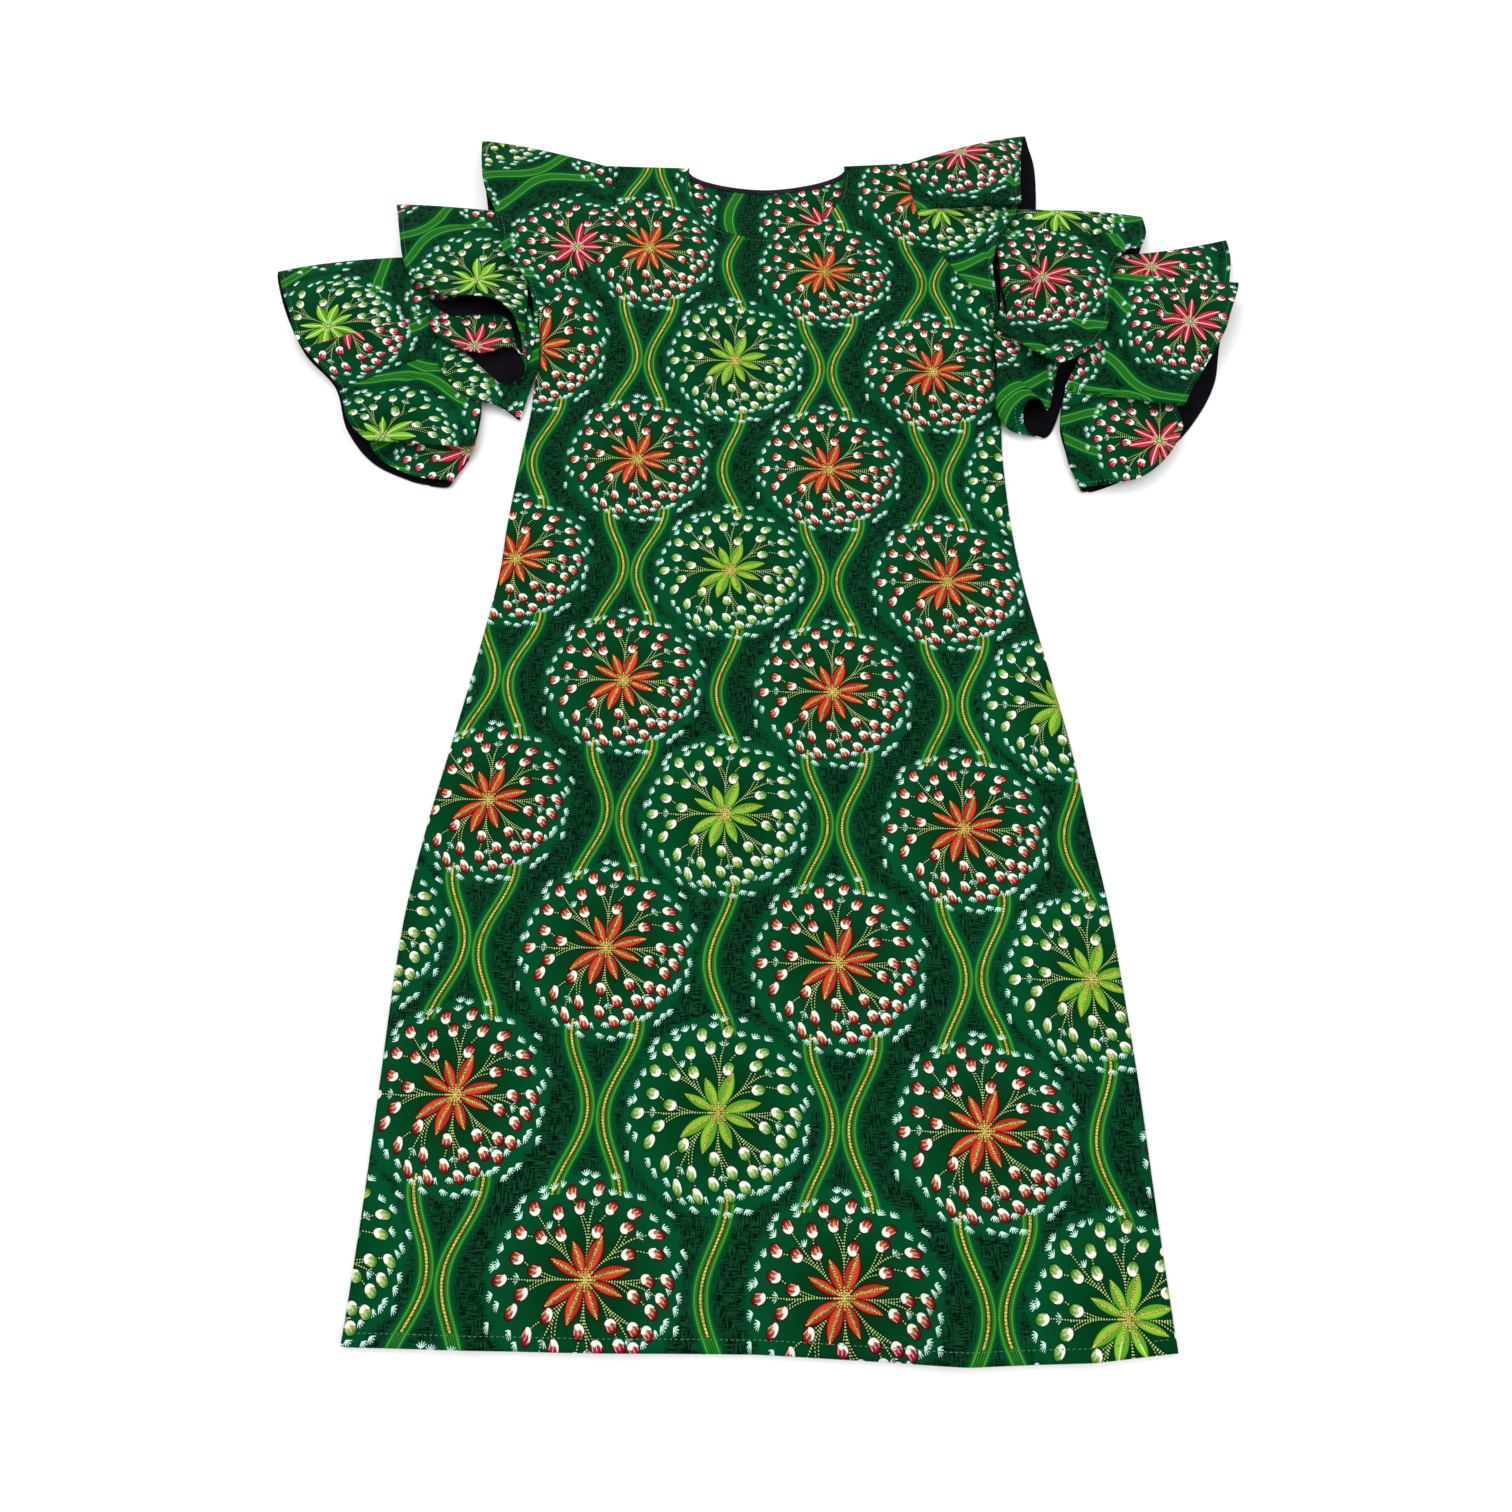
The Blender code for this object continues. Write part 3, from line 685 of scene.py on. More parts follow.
def spray_stems(radius, arc, turn, waves):
    """Distance beside the nearest stem: the ray itself, and branches that leave it for each bud.
    Map Range eases a branch's turn from 0 where it leaves the ray to its bud's turn."""
    sines, cosines = waves
    nearest = radius.over(RAY_END, 1.0).times(FAR_AWAY, abs(turn * arc))
    for number, (away, degrees, leave) in enumerate(BUDS, start=1):
        size, phase = BUD_SPREAD / 2 / away, PHASE_STEP * (number + SIDEWAYS_STEP)
        by_cosine = cosines[(number + 2) % 3].times(size * math.sin(phase), math.radians(degrees))
        target = sines[(number + 2) % 3].times(size * math.cos(phase), by_cosine)
        values = {0: radius, 1: leave, 2: away, 3: 0.0, 4: target}
        eased = add_node(radius.tree, "ShaderNodeMapRange", {"interpolation_type": "SMOOTHSTEP"}, values)
        beside = abs((turn - eased) * arc)
        past_bud = radius.over(away - BRANCH_SHORT, 1.0)
        nearest = nearest.math("MINIMUM", past_bud.times(FAR_AWAY, beside))
    return nearest


print("petals are", PETAL_LENGTH - PETAL_GROWTH, "to", PETAL_LENGTH + PETAL_GROWTH, "mm long")

# %% [markdown]
# Thick stems join each head to the next one up its column. Red heads have a pair that bows in until
# the two nearly touch, and lime heads have one that sways. They have a gold line down the middle
# where the cloth is embellished, on the front and the back, and plain green lines elsewhere.

# %% The thick stems
HEAD_REACH = 62.0
PAIR_NEAR, PAIR_BOW, PAIR_LOW = 6.8, 11.0, 6.0
SINGLE_SIDE, SINGLE_BOW, PAIR_LEAN = 9.0, 10.0, 0.05


def stem_distance(x, y, lime):
    """Distance beside the thick stem, and where stems are. t is 0 at PAIR_LOW below the middle
    between two heads, and turns by pi over the gap from that middle to a head. Each of a pair
    stands PAIR_NEAR + PAIR_BOW * (1 - cos t) from an axis that leans by PAIR_LEAN, and a single
    stem stands at SINGLE_SIDE - SINGLE_BOW * (1 + cos t)."""
    gap = REPEAT_UP / 2 - HEAD_REACH
    from_middle = REPEAT_UP / 2 - abs(y)
    up = from_middle * -y.math("SIGN")
    wave = ((up + PAIR_LOW) * (math.pi / gap)).math("COSINE")
    pair_beside = abs(abs(x - up * PAIR_LEAN) - ((1 - wave) * PAIR_BOW + PAIR_NEAR))
    single_beside = abs((wave + 1) * SINGLE_BOW - SINGLE_SIDE + x)
    beside = mix(pair_beside, single_beside, lime)
    return beside, from_middle.under(gap, 1.0)


print("stems are", round(2 * PAIR_NEAR), "mm apart where a pair is closest")

# %% [markdown]
# Now the print is painted in a printer's order: a black crackle of woven strokes, the plain green
# halo round each motif, stems, claws, dotted lines, petals and buds. The embellished cloth has
# orange petals and gold, and the plain cloth has crimson petals with a pale midline. The colours
# come first, as on a dyer's card.

# %% The print's colours
PRINT_COLOURS = {
    "crackle": linear(0, 18, 6),
    "stroke": linear(22, 83, 51),
    "halo": linear(2, 77, 41),
    "under_head": linear(2, 55, 23),
    "stem": linear(18, 108, 30),
    "stem_edge": linear(84, 176, 66),
    "stem_core": linear(70, 116, 22),
    "gold": linear(206, 190, 86),
    "claw": linear(210, 247, 236),
    "dot": linear(188, 220, 134),
    "dot_shade": linear(2, 30, 16),
    "white": linear(250, 248, 238),
}
# Petal, petal's darker half, outline, bud, bud's shade and petal's midline: for red heads on the
# gold cloth, red heads on the plain cloth, and lime heads on either
GOLD_RED = [(214, 54, 32), (160, 20, 18), (48, 8, 8), (190, 54, 46), (104, 18, 16), (255, 200, 150)]
PLAIN_RED = [(206, 28, 54), (158, 12, 38), (48, 2, 14), (196, 44, 66), (120, 8, 34), (255, 196, 204)]
LIME = [(136, 200, 46), (84, 160, 30), (10, 52, 12), (146, 196, 96), (66, 120, 40), (216, 236, 140)]


def by_head(lime, reds):
    """The six colours of a head, red or lime."""
    return [paint(linear(*red), linear(*green), lime) for red, green in zip(reds, LIME, strict=True)]


print("colours on the card:", len(PRINT_COLOURS) + len(GOLD_RED) + len(PLAIN_RED) + len(LIME))

# %% [markdown]
# The black ground looks woven: its strokes are noise stretched one way in some patches and the other
# way in the rest. The same noise, unstretched and finer, makes the clumps of gold grains.
#
# In the formulas from here on, `under` and `over` take a limit in millimetres and how soft its edge
# is, and a number that a mask is multiplied by is how much of the colour is laid on.

# %% Ground and gold grains
STROKE_SCALE, STROKE_STRETCH, PATCH_SCALE, GRAIN_SCALE = 860, 0.13, 80, 900


def crackle(tree, u, v):
    """The black ground: strokes of green that run across in some patches and up in others."""
    across = noise(tree, u * STROKE_STRETCH, v, STROKE_SCALE, detail=1.0)
    upward = noise(tree, u, v * STROKE_STRETCH, STROKE_SCALE, detail=1.0)
    patch = noise(tree, u, v, PATCH_SCALE, detail=1.0).over(0.5, 0.06)
    strokes = mix(across, upward, patch).over(0.52, 0.16) * 0.7
    crossing = mix(upward, across, patch).over(0.58, 0.14) * 0.4
    return paint(PRINT_COLOURS["crackle"], PRINT_COLOURS["stroke"], strokes.math("MAXIMUM", crossing))


def glitter(tree, u, v):
    """Gold grains, a little under a millimetre across, in uneven clumps."""
    return noise(tree, u, v, GRAIN_SCALE, detail=0.0).over(0.56, 0.08)


print("a stroke is about", round(1 / STROKE_STRETCH), "times as long as it is wide")

# %% [markdown]
# A thick stem is a green band in a soft halo, with a light beaded line along each edge. Where the
# cloth is embellished, gold grains and studs run down its middle between two dark lines.

# %% Paint the thick stems
# Half widths, from the halo in to the gold
STEM_HALO, STEM_HALF, STEM_LINES_HALF, STEM_CORE_HALF, STEM_GOLD_HALF = 10.0, 6.6, 5.2, 3.2, 1.2
STEM_EDGE_AT, STEM_DARK_LINE_AT, STEM_LINE_PITCH, STEM_DARK_HALF = 5.0, 1.9, 2.1, 3.3
BEAD_PITCH, BEAD_RADIUS, STUD_PITCH, STEM_DOT_RADIUS = 1.9, 0.62, 2.6, 1.1


def paint_stems(ground, column, grains):
    """The thick stems: a green band with a light beaded line at each edge. On the gold cloth its
    middle is gold between two dark lines, and on the plain cloth it has light lines."""
    x, y, lime = column
    beside, there = stem_distance(x, y, lime)
    band = paint(ground, PRINT_COLOURS["halo"], beside.under(STEM_HALO, 6.0) * there)
    band = paint(band, PRINT_COLOURS["stem"], beside.under(STEM_HALF, 3.0) * there)
    edge = abs(beside - STEM_EDGE_AT).under(0.9, 1.2)
    band = paint(band, PRINT_COLOURS["stem_edge"], edge * there * 0.3)
    beads = dotted(y, beside - STEM_EDGE_AT, BEAD_PITCH, BEAD_RADIUS)
    band = paint(band, PRINT_COLOURS["stem_edge"], beads * there * 0.8)
    if grains:
        band = paint(band, PRINT_COLOURS["stem_core"], beside.under(STEM_CORE_HALF, 0.8) * there * 0.7)
        dark_line = abs(beside - STEM_DARK_LINE_AT).under(0.7, 0.5)
        band = paint(band, PRINT_COLOURS["dot_shade"], dark_line * there * 0.75)
        line = grains * beside.under(STEM_GOLD_HALF, 0.4)
        metal = dotted(y, beside, STUD_PITCH, STEM_DOT_RADIUS).math("MAXIMUM", line) * there
        return paint(band, PRINT_COLOURS["gold"], metal), metal
    band = paint(band, PRINT_COLOURS["dot_shade"], beside.under(STEM_DARK_HALF, 0.5) * there * 0.45)
    lines = abs((beside / STEM_LINE_PITCH).fold()).under(0.2, 0.14) * beside.under(STEM_LINES_HALF, 0.5)
    return paint(band, PRINT_COLOURS["stem_edge"], lines * there * 0.45), None


print("a thick stem is", 2 * STEM_HALF, "mm wide")

# %% [markdown]
# Each petal is outlined, shaded on one half, and marked down its middle. Claws are drawn by folding
# the angle about their root into five prongs. Buds are ovals whose tip wears a scalloped cap.

# %% Paint claws, petals and buds
PRONGS, PRONG_TURN, PRONG_HALF, PRONG_TAPER = 5, 0.43, 0.66, 0.075
PETAL_OUTLINE, PETAL_SHADE, GROOVE_HALF, GRAINS_HALF, GRAINS_FROM = 0.9, 1.2, 1.1, 1.3, 9
PETAL_STUD_PITCH, PETAL_DOT_RADIUS, MIDLINE_HALF = 2.1, 0.7, 0.65
BUD_RIM = 1.16


def paint_claws(ground, spray):
    """White claws: five tapering prongs that fan out from a root, away from the head."""
    outward, sideways = nearest_item(CLAWS, *spray, CLAW_SPREAD, 11)
    outward = outward + CLAW_ROOT
    reach = (outward * outward + sideways * sideways).math("SQRT")
    angle = sideways.math("ARCTAN2", outward)
    prong = (angle / PRONG_TURN).fold() * PRONG_TURN * reach
    width = PRONG_HALF - reach * PRONG_TAPER
    fan = abs(angle).under(PRONG_TURN * PRONGS / 2, 0.1)
    mask = abs(prong).under(width, 0.25) * fan * reach.under(CLAW_REACH, 0.3)
    return paint(ground, PRINT_COLOURS["claw"], mask)


def paint_petals(ground, radius, turn, petal_angle, colours, grains):
    """Pointed petals with a dark rim, a darker half, and a dotted or pale midline."""
    inside, along, beside = petals(radius, turn, petal_angle)
    petal, dark_half, outline, _, _, midline = colours
    ground = paint(ground, outline, inside.over(-PETAL_OUTLINE, 0.4))
    half = paint(petal, dark_half, beside.over(0.0, 1.6))
    half = paint(half, dark_half, inside.under(PETAL_SHADE, 1.6) * 0.7)
    ground = paint(ground, half, inside.over(0.0, 0.5))
    on_petal = inside.over(0.35, 0.3)
    ground = paint(ground, midline, inside.over(0.8, 0.8) * 0.05)
    if grains:
        ground = paint(ground, outline, abs(beside).under(GROOVE_HALF, 0.3) * on_petal * 0.6)
        spread = grains * abs(beside).under(GRAINS_HALF, 0.8) * along.over(GRAINS_FROM, 4)
        dots = dotted(along, beside, PETAL_STUD_PITCH, PETAL_DOT_RADIUS)
        metal = dots.math("MAXIMUM", spread) * on_petal
        return paint(ground, PRINT_COLOURS["gold"], metal), metal
    return paint(ground, midline, abs(beside).under(MIDLINE_HALF, 0.4) * on_petal), None


def paint_buds(ground, spray, colours, grains):
    """Buds: a white oval with a scalloped, streaked and rimmed cap of colour at its tip. Outward is
    1 at the oval's tip and sideways 1 at its side, and the formulas are shares of those."""
    outward, sideways = nearest_item(BUDS, *spray, BUD_SPREAD, 1)
    outward, sideways = outward / BUD_HALF_LENGTH, sideways / BUD_HALF_WIDTH
    oval = (outward * outward + sideways * sideways).math("SQRT")
    _, _, outline, bud, shade, _ = colours
    ground = paint(ground, PRINT_COLOURS["dot_shade"], oval.under(BUD_RIM, 0.1) * 0.7)
    ground = paint(ground, outline, oval.under(BUD_RIM, 0.1) * outward.over(-0.5, 0.5))
    scallop = abs((sideways * 0.8 + 0.25).fold()) * 0.9
    tilted = outward - sideways * 0.3
    cap = (tilted + scallop).over(0.0, 0.16)
    body = paint(PRINT_COLOURS["white"], bud, cap)
    body = paint(body, shade, (outward + sideways * 0.5).over(0.3, 0.9) * cap * 0.8)
    body = paint(body, shade, oval.over(0.74, 0.2) * cap * 0.6)
    streak = abs((sideways * 1.4 + outward * 0.3).fold()).under(0.08, 0.08)
    body = paint(body, PRINT_COLOURS["white"], streak * outward.under(0.5, 0.3) * cap * 0.7)
    if grains:
        body = paint(body, PRINT_COLOURS["gold"], grains * oval.under(0.45, 0.2) * 0.6)
    return paint(ground, body, oval.under(1.0, 0.08))


print("a claw opens to", round(math.degrees(PRONG_TURN * PRONGS)), "degrees")

# %% [markdown]
# The whole cloth lays these layers over each other. Over all of them goes a slow change of tone, as
# on cloth that has been washed. Only colour, roughness and metal change over the cloth, and a fine
# weave in a Bump node catches the light.

# %% The printed cloth
HALO_REACH, UNDER_HEAD_REACH, RAGGED_SCALE, RAGGED_SIZE = 80.0, 50.0, 70, 12
SPRAY_LINE_HALF, MIDDLE_REACH, MIDDLE_DOT_RADIUS = 1.35, 9, 0.8
TONE_SCALE, TONE_CHANGE, TONE_LOWEST = 9, 0.28, 0.76
CLOTH_ROUGHNESS, GOLD_ROUGHNESS, GOLD_METAL, SHEEN_LEVEL = 0.62, 0.36, 0.6, 0.01
WEAVE_PITCH, WEAVE_HEIGHT, WEAVE_STRENGTH = 0.55, 0.00005, 0.5


def weave(tree, shader, u, v):
    """A plain weave for the light to catch: crossing threads, one every WEAVE_PITCH."""
    threads = u.sine(2 * math.pi / WEAVE_PITCH) * v.sine(2 * math.pi / WEAVE_PITCH)
    values = {"Height": threads, "Strength": WEAVE_STRENGTH, "Distance": WEAVE_HEIGHT}
    feed(shader, {"Normal": add_node(tree, "ShaderNodeBump", None, values)})


def new_material(name):
    """A material with nodes, its tree and its shader."""
    material = bpy.data.materials.new(name)
    material.use_nodes = True
    return material, material.node_tree, material.node_tree.nodes["Principled BSDF"]


def printed_cloth(name, gold):
    """The whole print as a material. gold adds the embellished stems and petals."""
    material, tree, shader = new_material(name)
    u, v, (x, y, lime), column = print_lattice(tree)
    radius, arc, turn, spray_angle, petal_turn, petal_angle = head_angles(x, y)
    spray = radius, arc, turn, spray_waves(spray_angle)
    ragged = noise(tree, u, v, RAGGED_SCALE, detail=1.0) * RAGGED_SIZE + radius
    grains = glitter(tree, u, v) if gold else None
    colour = crackle(tree, u, v)
    colour = paint(colour, PRINT_COLOURS["halo"], ragged.under(HALO_REACH + RAGGED_SIZE / 2, 6.0))
    colour, stem_metal = paint_stems(colour, column, grains)
    colour = paint(colour, PRINT_COLOURS["halo"], radius.under(HEAD_REACH + 4, 5.0))
    colour = paint(colour, PRINT_COLOURS["under_head"], radius.under(UNDER_HEAD_REACH, 40.0) * 0.9)
    colour = paint_claws(colour, spray)
    beside = spray_stems(*spray)
    colour = paint(colour, PRINT_COLOURS["dot_shade"], beside.under(SPRAY_LINE_HALF, 0.5) * 0.8)
    colour = paint(colour, PRINT_COLOURS["dot"], dotted(radius, beside, DOT_PITCH, DOT_RADIUS))
    colours = by_head(lime, GOLD_RED if gold else PLAIN_RED)
    colour, petal_metal = paint_petals(colour, radius, petal_turn, petal_angle, colours, grains)
    colour = paint_buds(colour, spray, colours, grains)
    middle = dotted(radius - DOT_PITCH / 2, turn * radius, DOT_PITCH, MIDDLE_DOT_RADIUS)
    middle = middle * radius.under(MIDDLE_REACH, 1.0)
    colour = paint(colour, PRINT_COLOURS["gold" if gold else "dot"], middle)
    tone = noise(tree, u, v, TONE_SCALE, detail=3.0) * TONE_CHANGE + TONE_LOWEST
    shaded = add_node(tree, "ShaderNodeVectorMath", {"operation": "SCALE"}, {0: colour, "Scale": tone})
    if gold:
        metal = stem_metal.math("MAXIMUM", petal_metal)
        feed(shader, {"Metallic": metal * GOLD_METAL})
    rough = mix(CLOTH_ROUGHNESS, GOLD_ROUGHNESS, metal) if gold else CLOTH_ROUGHNESS
    feed(shader, {"Base Color": shaded, "Roughness": rough, "Specular IOR Level": SHEEN_LEVEL})
    weave(tree, shader, u, v)
    return material


gold_print = printed_cloth("gold_wax_print", gold=True)
plain_print = printed_cloth("plain_wax_print", gold=False)
print("nodes in the gold print:", len(gold_print.node_tree.nodes))

# %% [markdown]
# The flounces are lined in a black cotton, and the back neck is bound in a dark one. Black cloth
# isn't one black: its weave, a little lint and the wear along folds make it greyer in places. The
# studs are brass, tarnished in places.

# %% Lining, binding, thread and gold
LINT_SCALE, TARNISH_SCALE = 30, 120


def plain_cloth(name, colour, lighter, roughness):
    """A woven cloth of one colour with soft lighter patches."""
    material, tree, shader = new_material(name)
    u, v = print_map(tree)
    shade = paint(colour, lighter, noise(tree, u, v, LINT_SCALE, detail=4.0))
    feed(shader, {"Base Color": shade, "Roughness": roughness, "Specular IOR Level": SHEEN_LEVEL})
    weave(tree, shader, u, v)
    return material


def stud_metal(name, colour, tarnish, roughness):
    """Polished brass, tarnished in places, on the metres of Object coordinates."""
    material, tree, shader = new_material(name)
    x, y = split(tree, add_node(tree, "ShaderNodeTexCoord", output=3))
    patches = noise(tree, x * 1000, y * 1000, TARNISH_SCALE, detail=2.0)
    shade = paint(tarnish, colour, patches.over(0.4, 0.3))
    feed(shader, {"Base Color": shade, "Metallic": 1.0, "Roughness": roughness})
    return material


black_lining = plain_cloth("black_lining", linear(6, 6, 8), linear(22, 20, 26), 0.8)
dark_binding = plain_cloth("dark_binding", linear(18, 15, 22), linear(52, 46, 58), 0.7)
thread = plain_cloth("sewing_thread", linear(70, 124, 92), linear(124, 166, 134), 0.6)
gold_stud = stud_metal("gold_stud", linear(234, 214, 128), linear(158, 128, 52), 0.3)
print("other materials:", black_lining.name, dark_binding.name, thread.name, gold_stud.name)

# %% [markdown]
# The back panel lies on the table with its inside up, so its top shows the plain side of the cloth
# in the scoop of the neck, and its underside is the embellished back of the dress. The front panel
# lies on it. The print's columns run straight up the dress, and repeat a little further apart near
# the neck, where the cloth was eased and pulled a little askew. The gold stops at the hem's fold, and
# the turned hem is bare.

# %% The two body panels
EASE_FROM, EASE_SHARE = 850.0, 0.07
SKEW, SKEW_FROM, SKEW_TO = 0.1, 960.0, 1160.0
HEM_STRIPS, INSIDE_PRINT_SHIFT, ROUNDS_TO_FIND_Y = 2, 80.0, 12


def print_place(x, y):
    """Print coordinates in metres of a flat point of the body, in dress millimetres."""
    up = y - EASE_SHARE * np.maximum(y - EASE_FROM, 0) + SKEW * x * smooth(y, SKEW_FROM, SKEW_TO)
    return np.stack([x - LIME_COLUMN_X, up - FIRST_HEAD_UP], axis=-1) * MM


def on_dress(print_x, print_y):
    """The dress place of a print place in millimetres. The skew depends on the height that is
    sought, so the height is found by repeating."""
    x = print_x + LIME_COLUMN_X
    y = up = print_y + FIRST_HEAD_UP
    for _ in range(ROUNDS_TO_FIND_Y):
        y = up + EASE_SHARE * np.maximum(y - EASE_FROM, 0) - SKEW * x * smooth(y, SKEW_FROM, SKEW_TO)
    return x, y


def front_top(x, y, side):
    """Height of the front panel's upper face."""
    return 2 * CLOTH + front_lift(x, y, side)


x, y, side = panel_plan(FRONT_NECK_DEPTH, FRONT_NECK_SQUARENESS)
front_points = np.stack([x, y, front_top(x, y, side)], axis=2)
front_print = strips(print_place(x, y))
front = cloth("front_shell", front_points, front_print, gold_print, plain_print, bare_strips=HEM_STRIPS)
x, y, _ = panel_plan(BACK_NECK_DEPTH, BACK_NECK_SQUARENESS)
back_points = np.stack([x, y, np.full_like(x, CLOTH)], axis=2)
back_print = strips(print_place(x, y - INSIDE_PRINT_SHIFT))
back = cloth("back_shell", back_points, back_print, plain_print, gold_print, thickness=CLOTH)
for panel, node in ((front, "front_panel"), (back, "back_panel")):
    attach(panel, "root")
    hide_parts(node)
print("front panel top, highest in mm:", round(float(front_points[..., 2].max()), 1))

# %% [markdown]
# Each flounce is a circle of cloth cut with a hole, closed into a ring, sewn on by the hole's edge
# and pressed flat by lying on the table. Its free edge is far longer than its seam, so it waves and
# tucks under itself. A short table gives each fold: where its rib leaves the seam, and where it ends
# at the free edge. A smooth curve through the folds fills in the ribs between them.
#
# First come the lines that the outer flounces are sewn on.

# %% Where the flounces are sewn
LEFT, RIGHT = -1, 1
SEAM_TUCK = 12.0

# The line that each outer flounce is sewn on, from its top fold to its underarm: up, out from the
# middle of the dress. The first flounce's seam follows the body's side edge, SEAM_TUCK inside it.
SEAMS = {
    "left_tier_2": [(1205, 292), (1150, 278), (1062, 277), (1045, 270), (1020, 259), (975, 257)],
    "left_tier_3": [(1135, 380), (1060, 356), (1020, 346), (960, 325), (920, 316), (860, 317), (832, 331)],
    "right_tier_2": [(1216, 272), (1100, 277), (1060, 273), (1035, 262), (945, 259)],
    "right_tier_3": [(1145, 376), (1030, 371), (1000, 362), (950, 337), (900, 326), (845, 332)],
}


def seam_out(name, up):
    """How far a flounce's seam is from the middle of the dress, at a height up the dress."""
    if name in SEAMS:
        line = np.array(SEAMS[name], float)[::-1]
        return np.interp(up, line[:, 0], line[:, 1])
    sides = np.array(SIDES, float)
    return np.interp(up, sides[:, 0], sides[:, 1 if name.startswith("left") else 2]) - SEAM_TUCK


print("seams with a line of their own:", ", ".join(SEAMS))

# %% [markdown]
# Pressed cloth isn't straight between its seam and its free edge. Top folds arch, the roll under the
# right sleeve swells sideways, and narrow deep folds cross the ribs, as the photo shows them.

# %% Arches, swells and deep folds
# How far each top fold arches up between its seam and its free edge, and the share of it that the
# ribs before, at and after the fold take
TOP_ARCHES = {"left_tier_1": 5, "left_tier_3": 5, "right_tier_1": 6, "right_tier_2": 3, "right_tier_3": -8}
ARCH_SHARES = (0.5, 1, 0.5)

# Ribs that swell sideways between seam and free edge, as where a roll's mouth turns in: fold, out, up
SWELLS = {"right_tier_2": [(16, -6, 0), (17, -14, -2), (18, -18, -8), (19, -10, -14), (20, 4, -8)]}

# Narrow deep folds across a flounce's cloth, each on the ribs between two folds: first fold, last
# fold, then from out, from up, to out, to up, width and height, below zero for a trough
DEEP_FOLDS = {
    "left_tier_1": [(1, 5, 258, 1216, 330, 1190, 5, -3), (2, 7, 262, 1150, 300, 1128, 4, -4)],
    "left_tier_2": [
        (0, 5, 300, 1176, 392, 1190, 5, -4),
        (1, 6, 300, 1120, 372, 1078, 5, -4),
        (27, 31, 300, 985, 350, 965, 4, -3),
    ],
    "left_tier_3": [
        (0, 3, 420, 1082, 520, 1095, 6, -4),
        (3, 5, 380, 1056, 534, 988, 4, -4),
        (4, 8, 400, 1000, 470, 985, 5, -3),
        (6, 9, 380, 968, 455, 915, 5, -4),
        (7, 10, 360, 935, 430, 880, 5, -5),
    ],
    "right_tier_1": [(0, 5, 299, 1204, 308, 1322, 5, -5), (7, 10, 256, 1160, 270, 1110, 4, -4)],
    "right_tier_2": [
        (1, 9, 322, 1176, 311, 1068, 3.5, -9),
        (4, 9, 276, 1120, 283, 1022, 4.5, -9),
        (1, 8, 396, 1190, 380, 1130, 5, -5),
        (5, 9, 345, 1062, 372, 1010, 5, -5),
        (6, 9, 300, 1030, 326, 986, 4, -5),
    ],
    "right_tier_3": [
        (5, 9, 470, 1086, 452, 1020, 5, -5),
        (7, 12, 400, 1020, 425, 952, 5, -5),
        (9, 12, 372, 985, 392, 935, 4, -4),
        (16, 19, 380, 880, 400, 836, 5, -3),
    ],
}
print("deep folds:", sum(len(folds) for folds in DEEP_FOLDS.values()))

# %% [markdown]
# Each row of these tables is a rib of the ring, at one fold or in the cloth between two, in the order
# round it: place, seam up, seam level, free edge out, free edge up, free edge level, bow. Out is the
# distance from the middle of the dress, and level is the height over the surface.

# %% The left sleeve's flounces
LEFT_TIER_1 = [
    ("top fold", 1281, 5, 358, 1324, 9, 1),
    ("front", 1250, 7, 352, 1282, 17, 3),
    ("front", 1215, 7, 343, 1235, 21, 3),
    ("front", 1180, 7, 326, 1195, 22, 2),
    ("front", 1150, 7, 315, 1160, 23, 0),
    ("front", 1125, 7.5, 308, 1125, 24, 0),
    ("front", 1100, 7.5, 286, 1097, 24, 0),
    ("front", 1075, 7, 272, 1070, 17, 0),
    ("front", 1050, 6, 268, 1046, 8, 0),
    ("underarm", 1028, 4, 266, 1028, 4, 0),
    ("back", 1050, 2.1, 274, 1047, 1.9, 0),
    ("back", 1080, 2.1, 315, 1075, 0.6, 0),
    ("back", 1130, 2.1, 327, 1137, 0.6, 0),
    ("back", 1180, 2.1, 340, 1210, 0.6, 0),
    ("back", 1235, 2.1, 353, 1277, 0.6, 0),
    ("back", 1265, 2.5, 359, 1315, 1.2, 0),
]
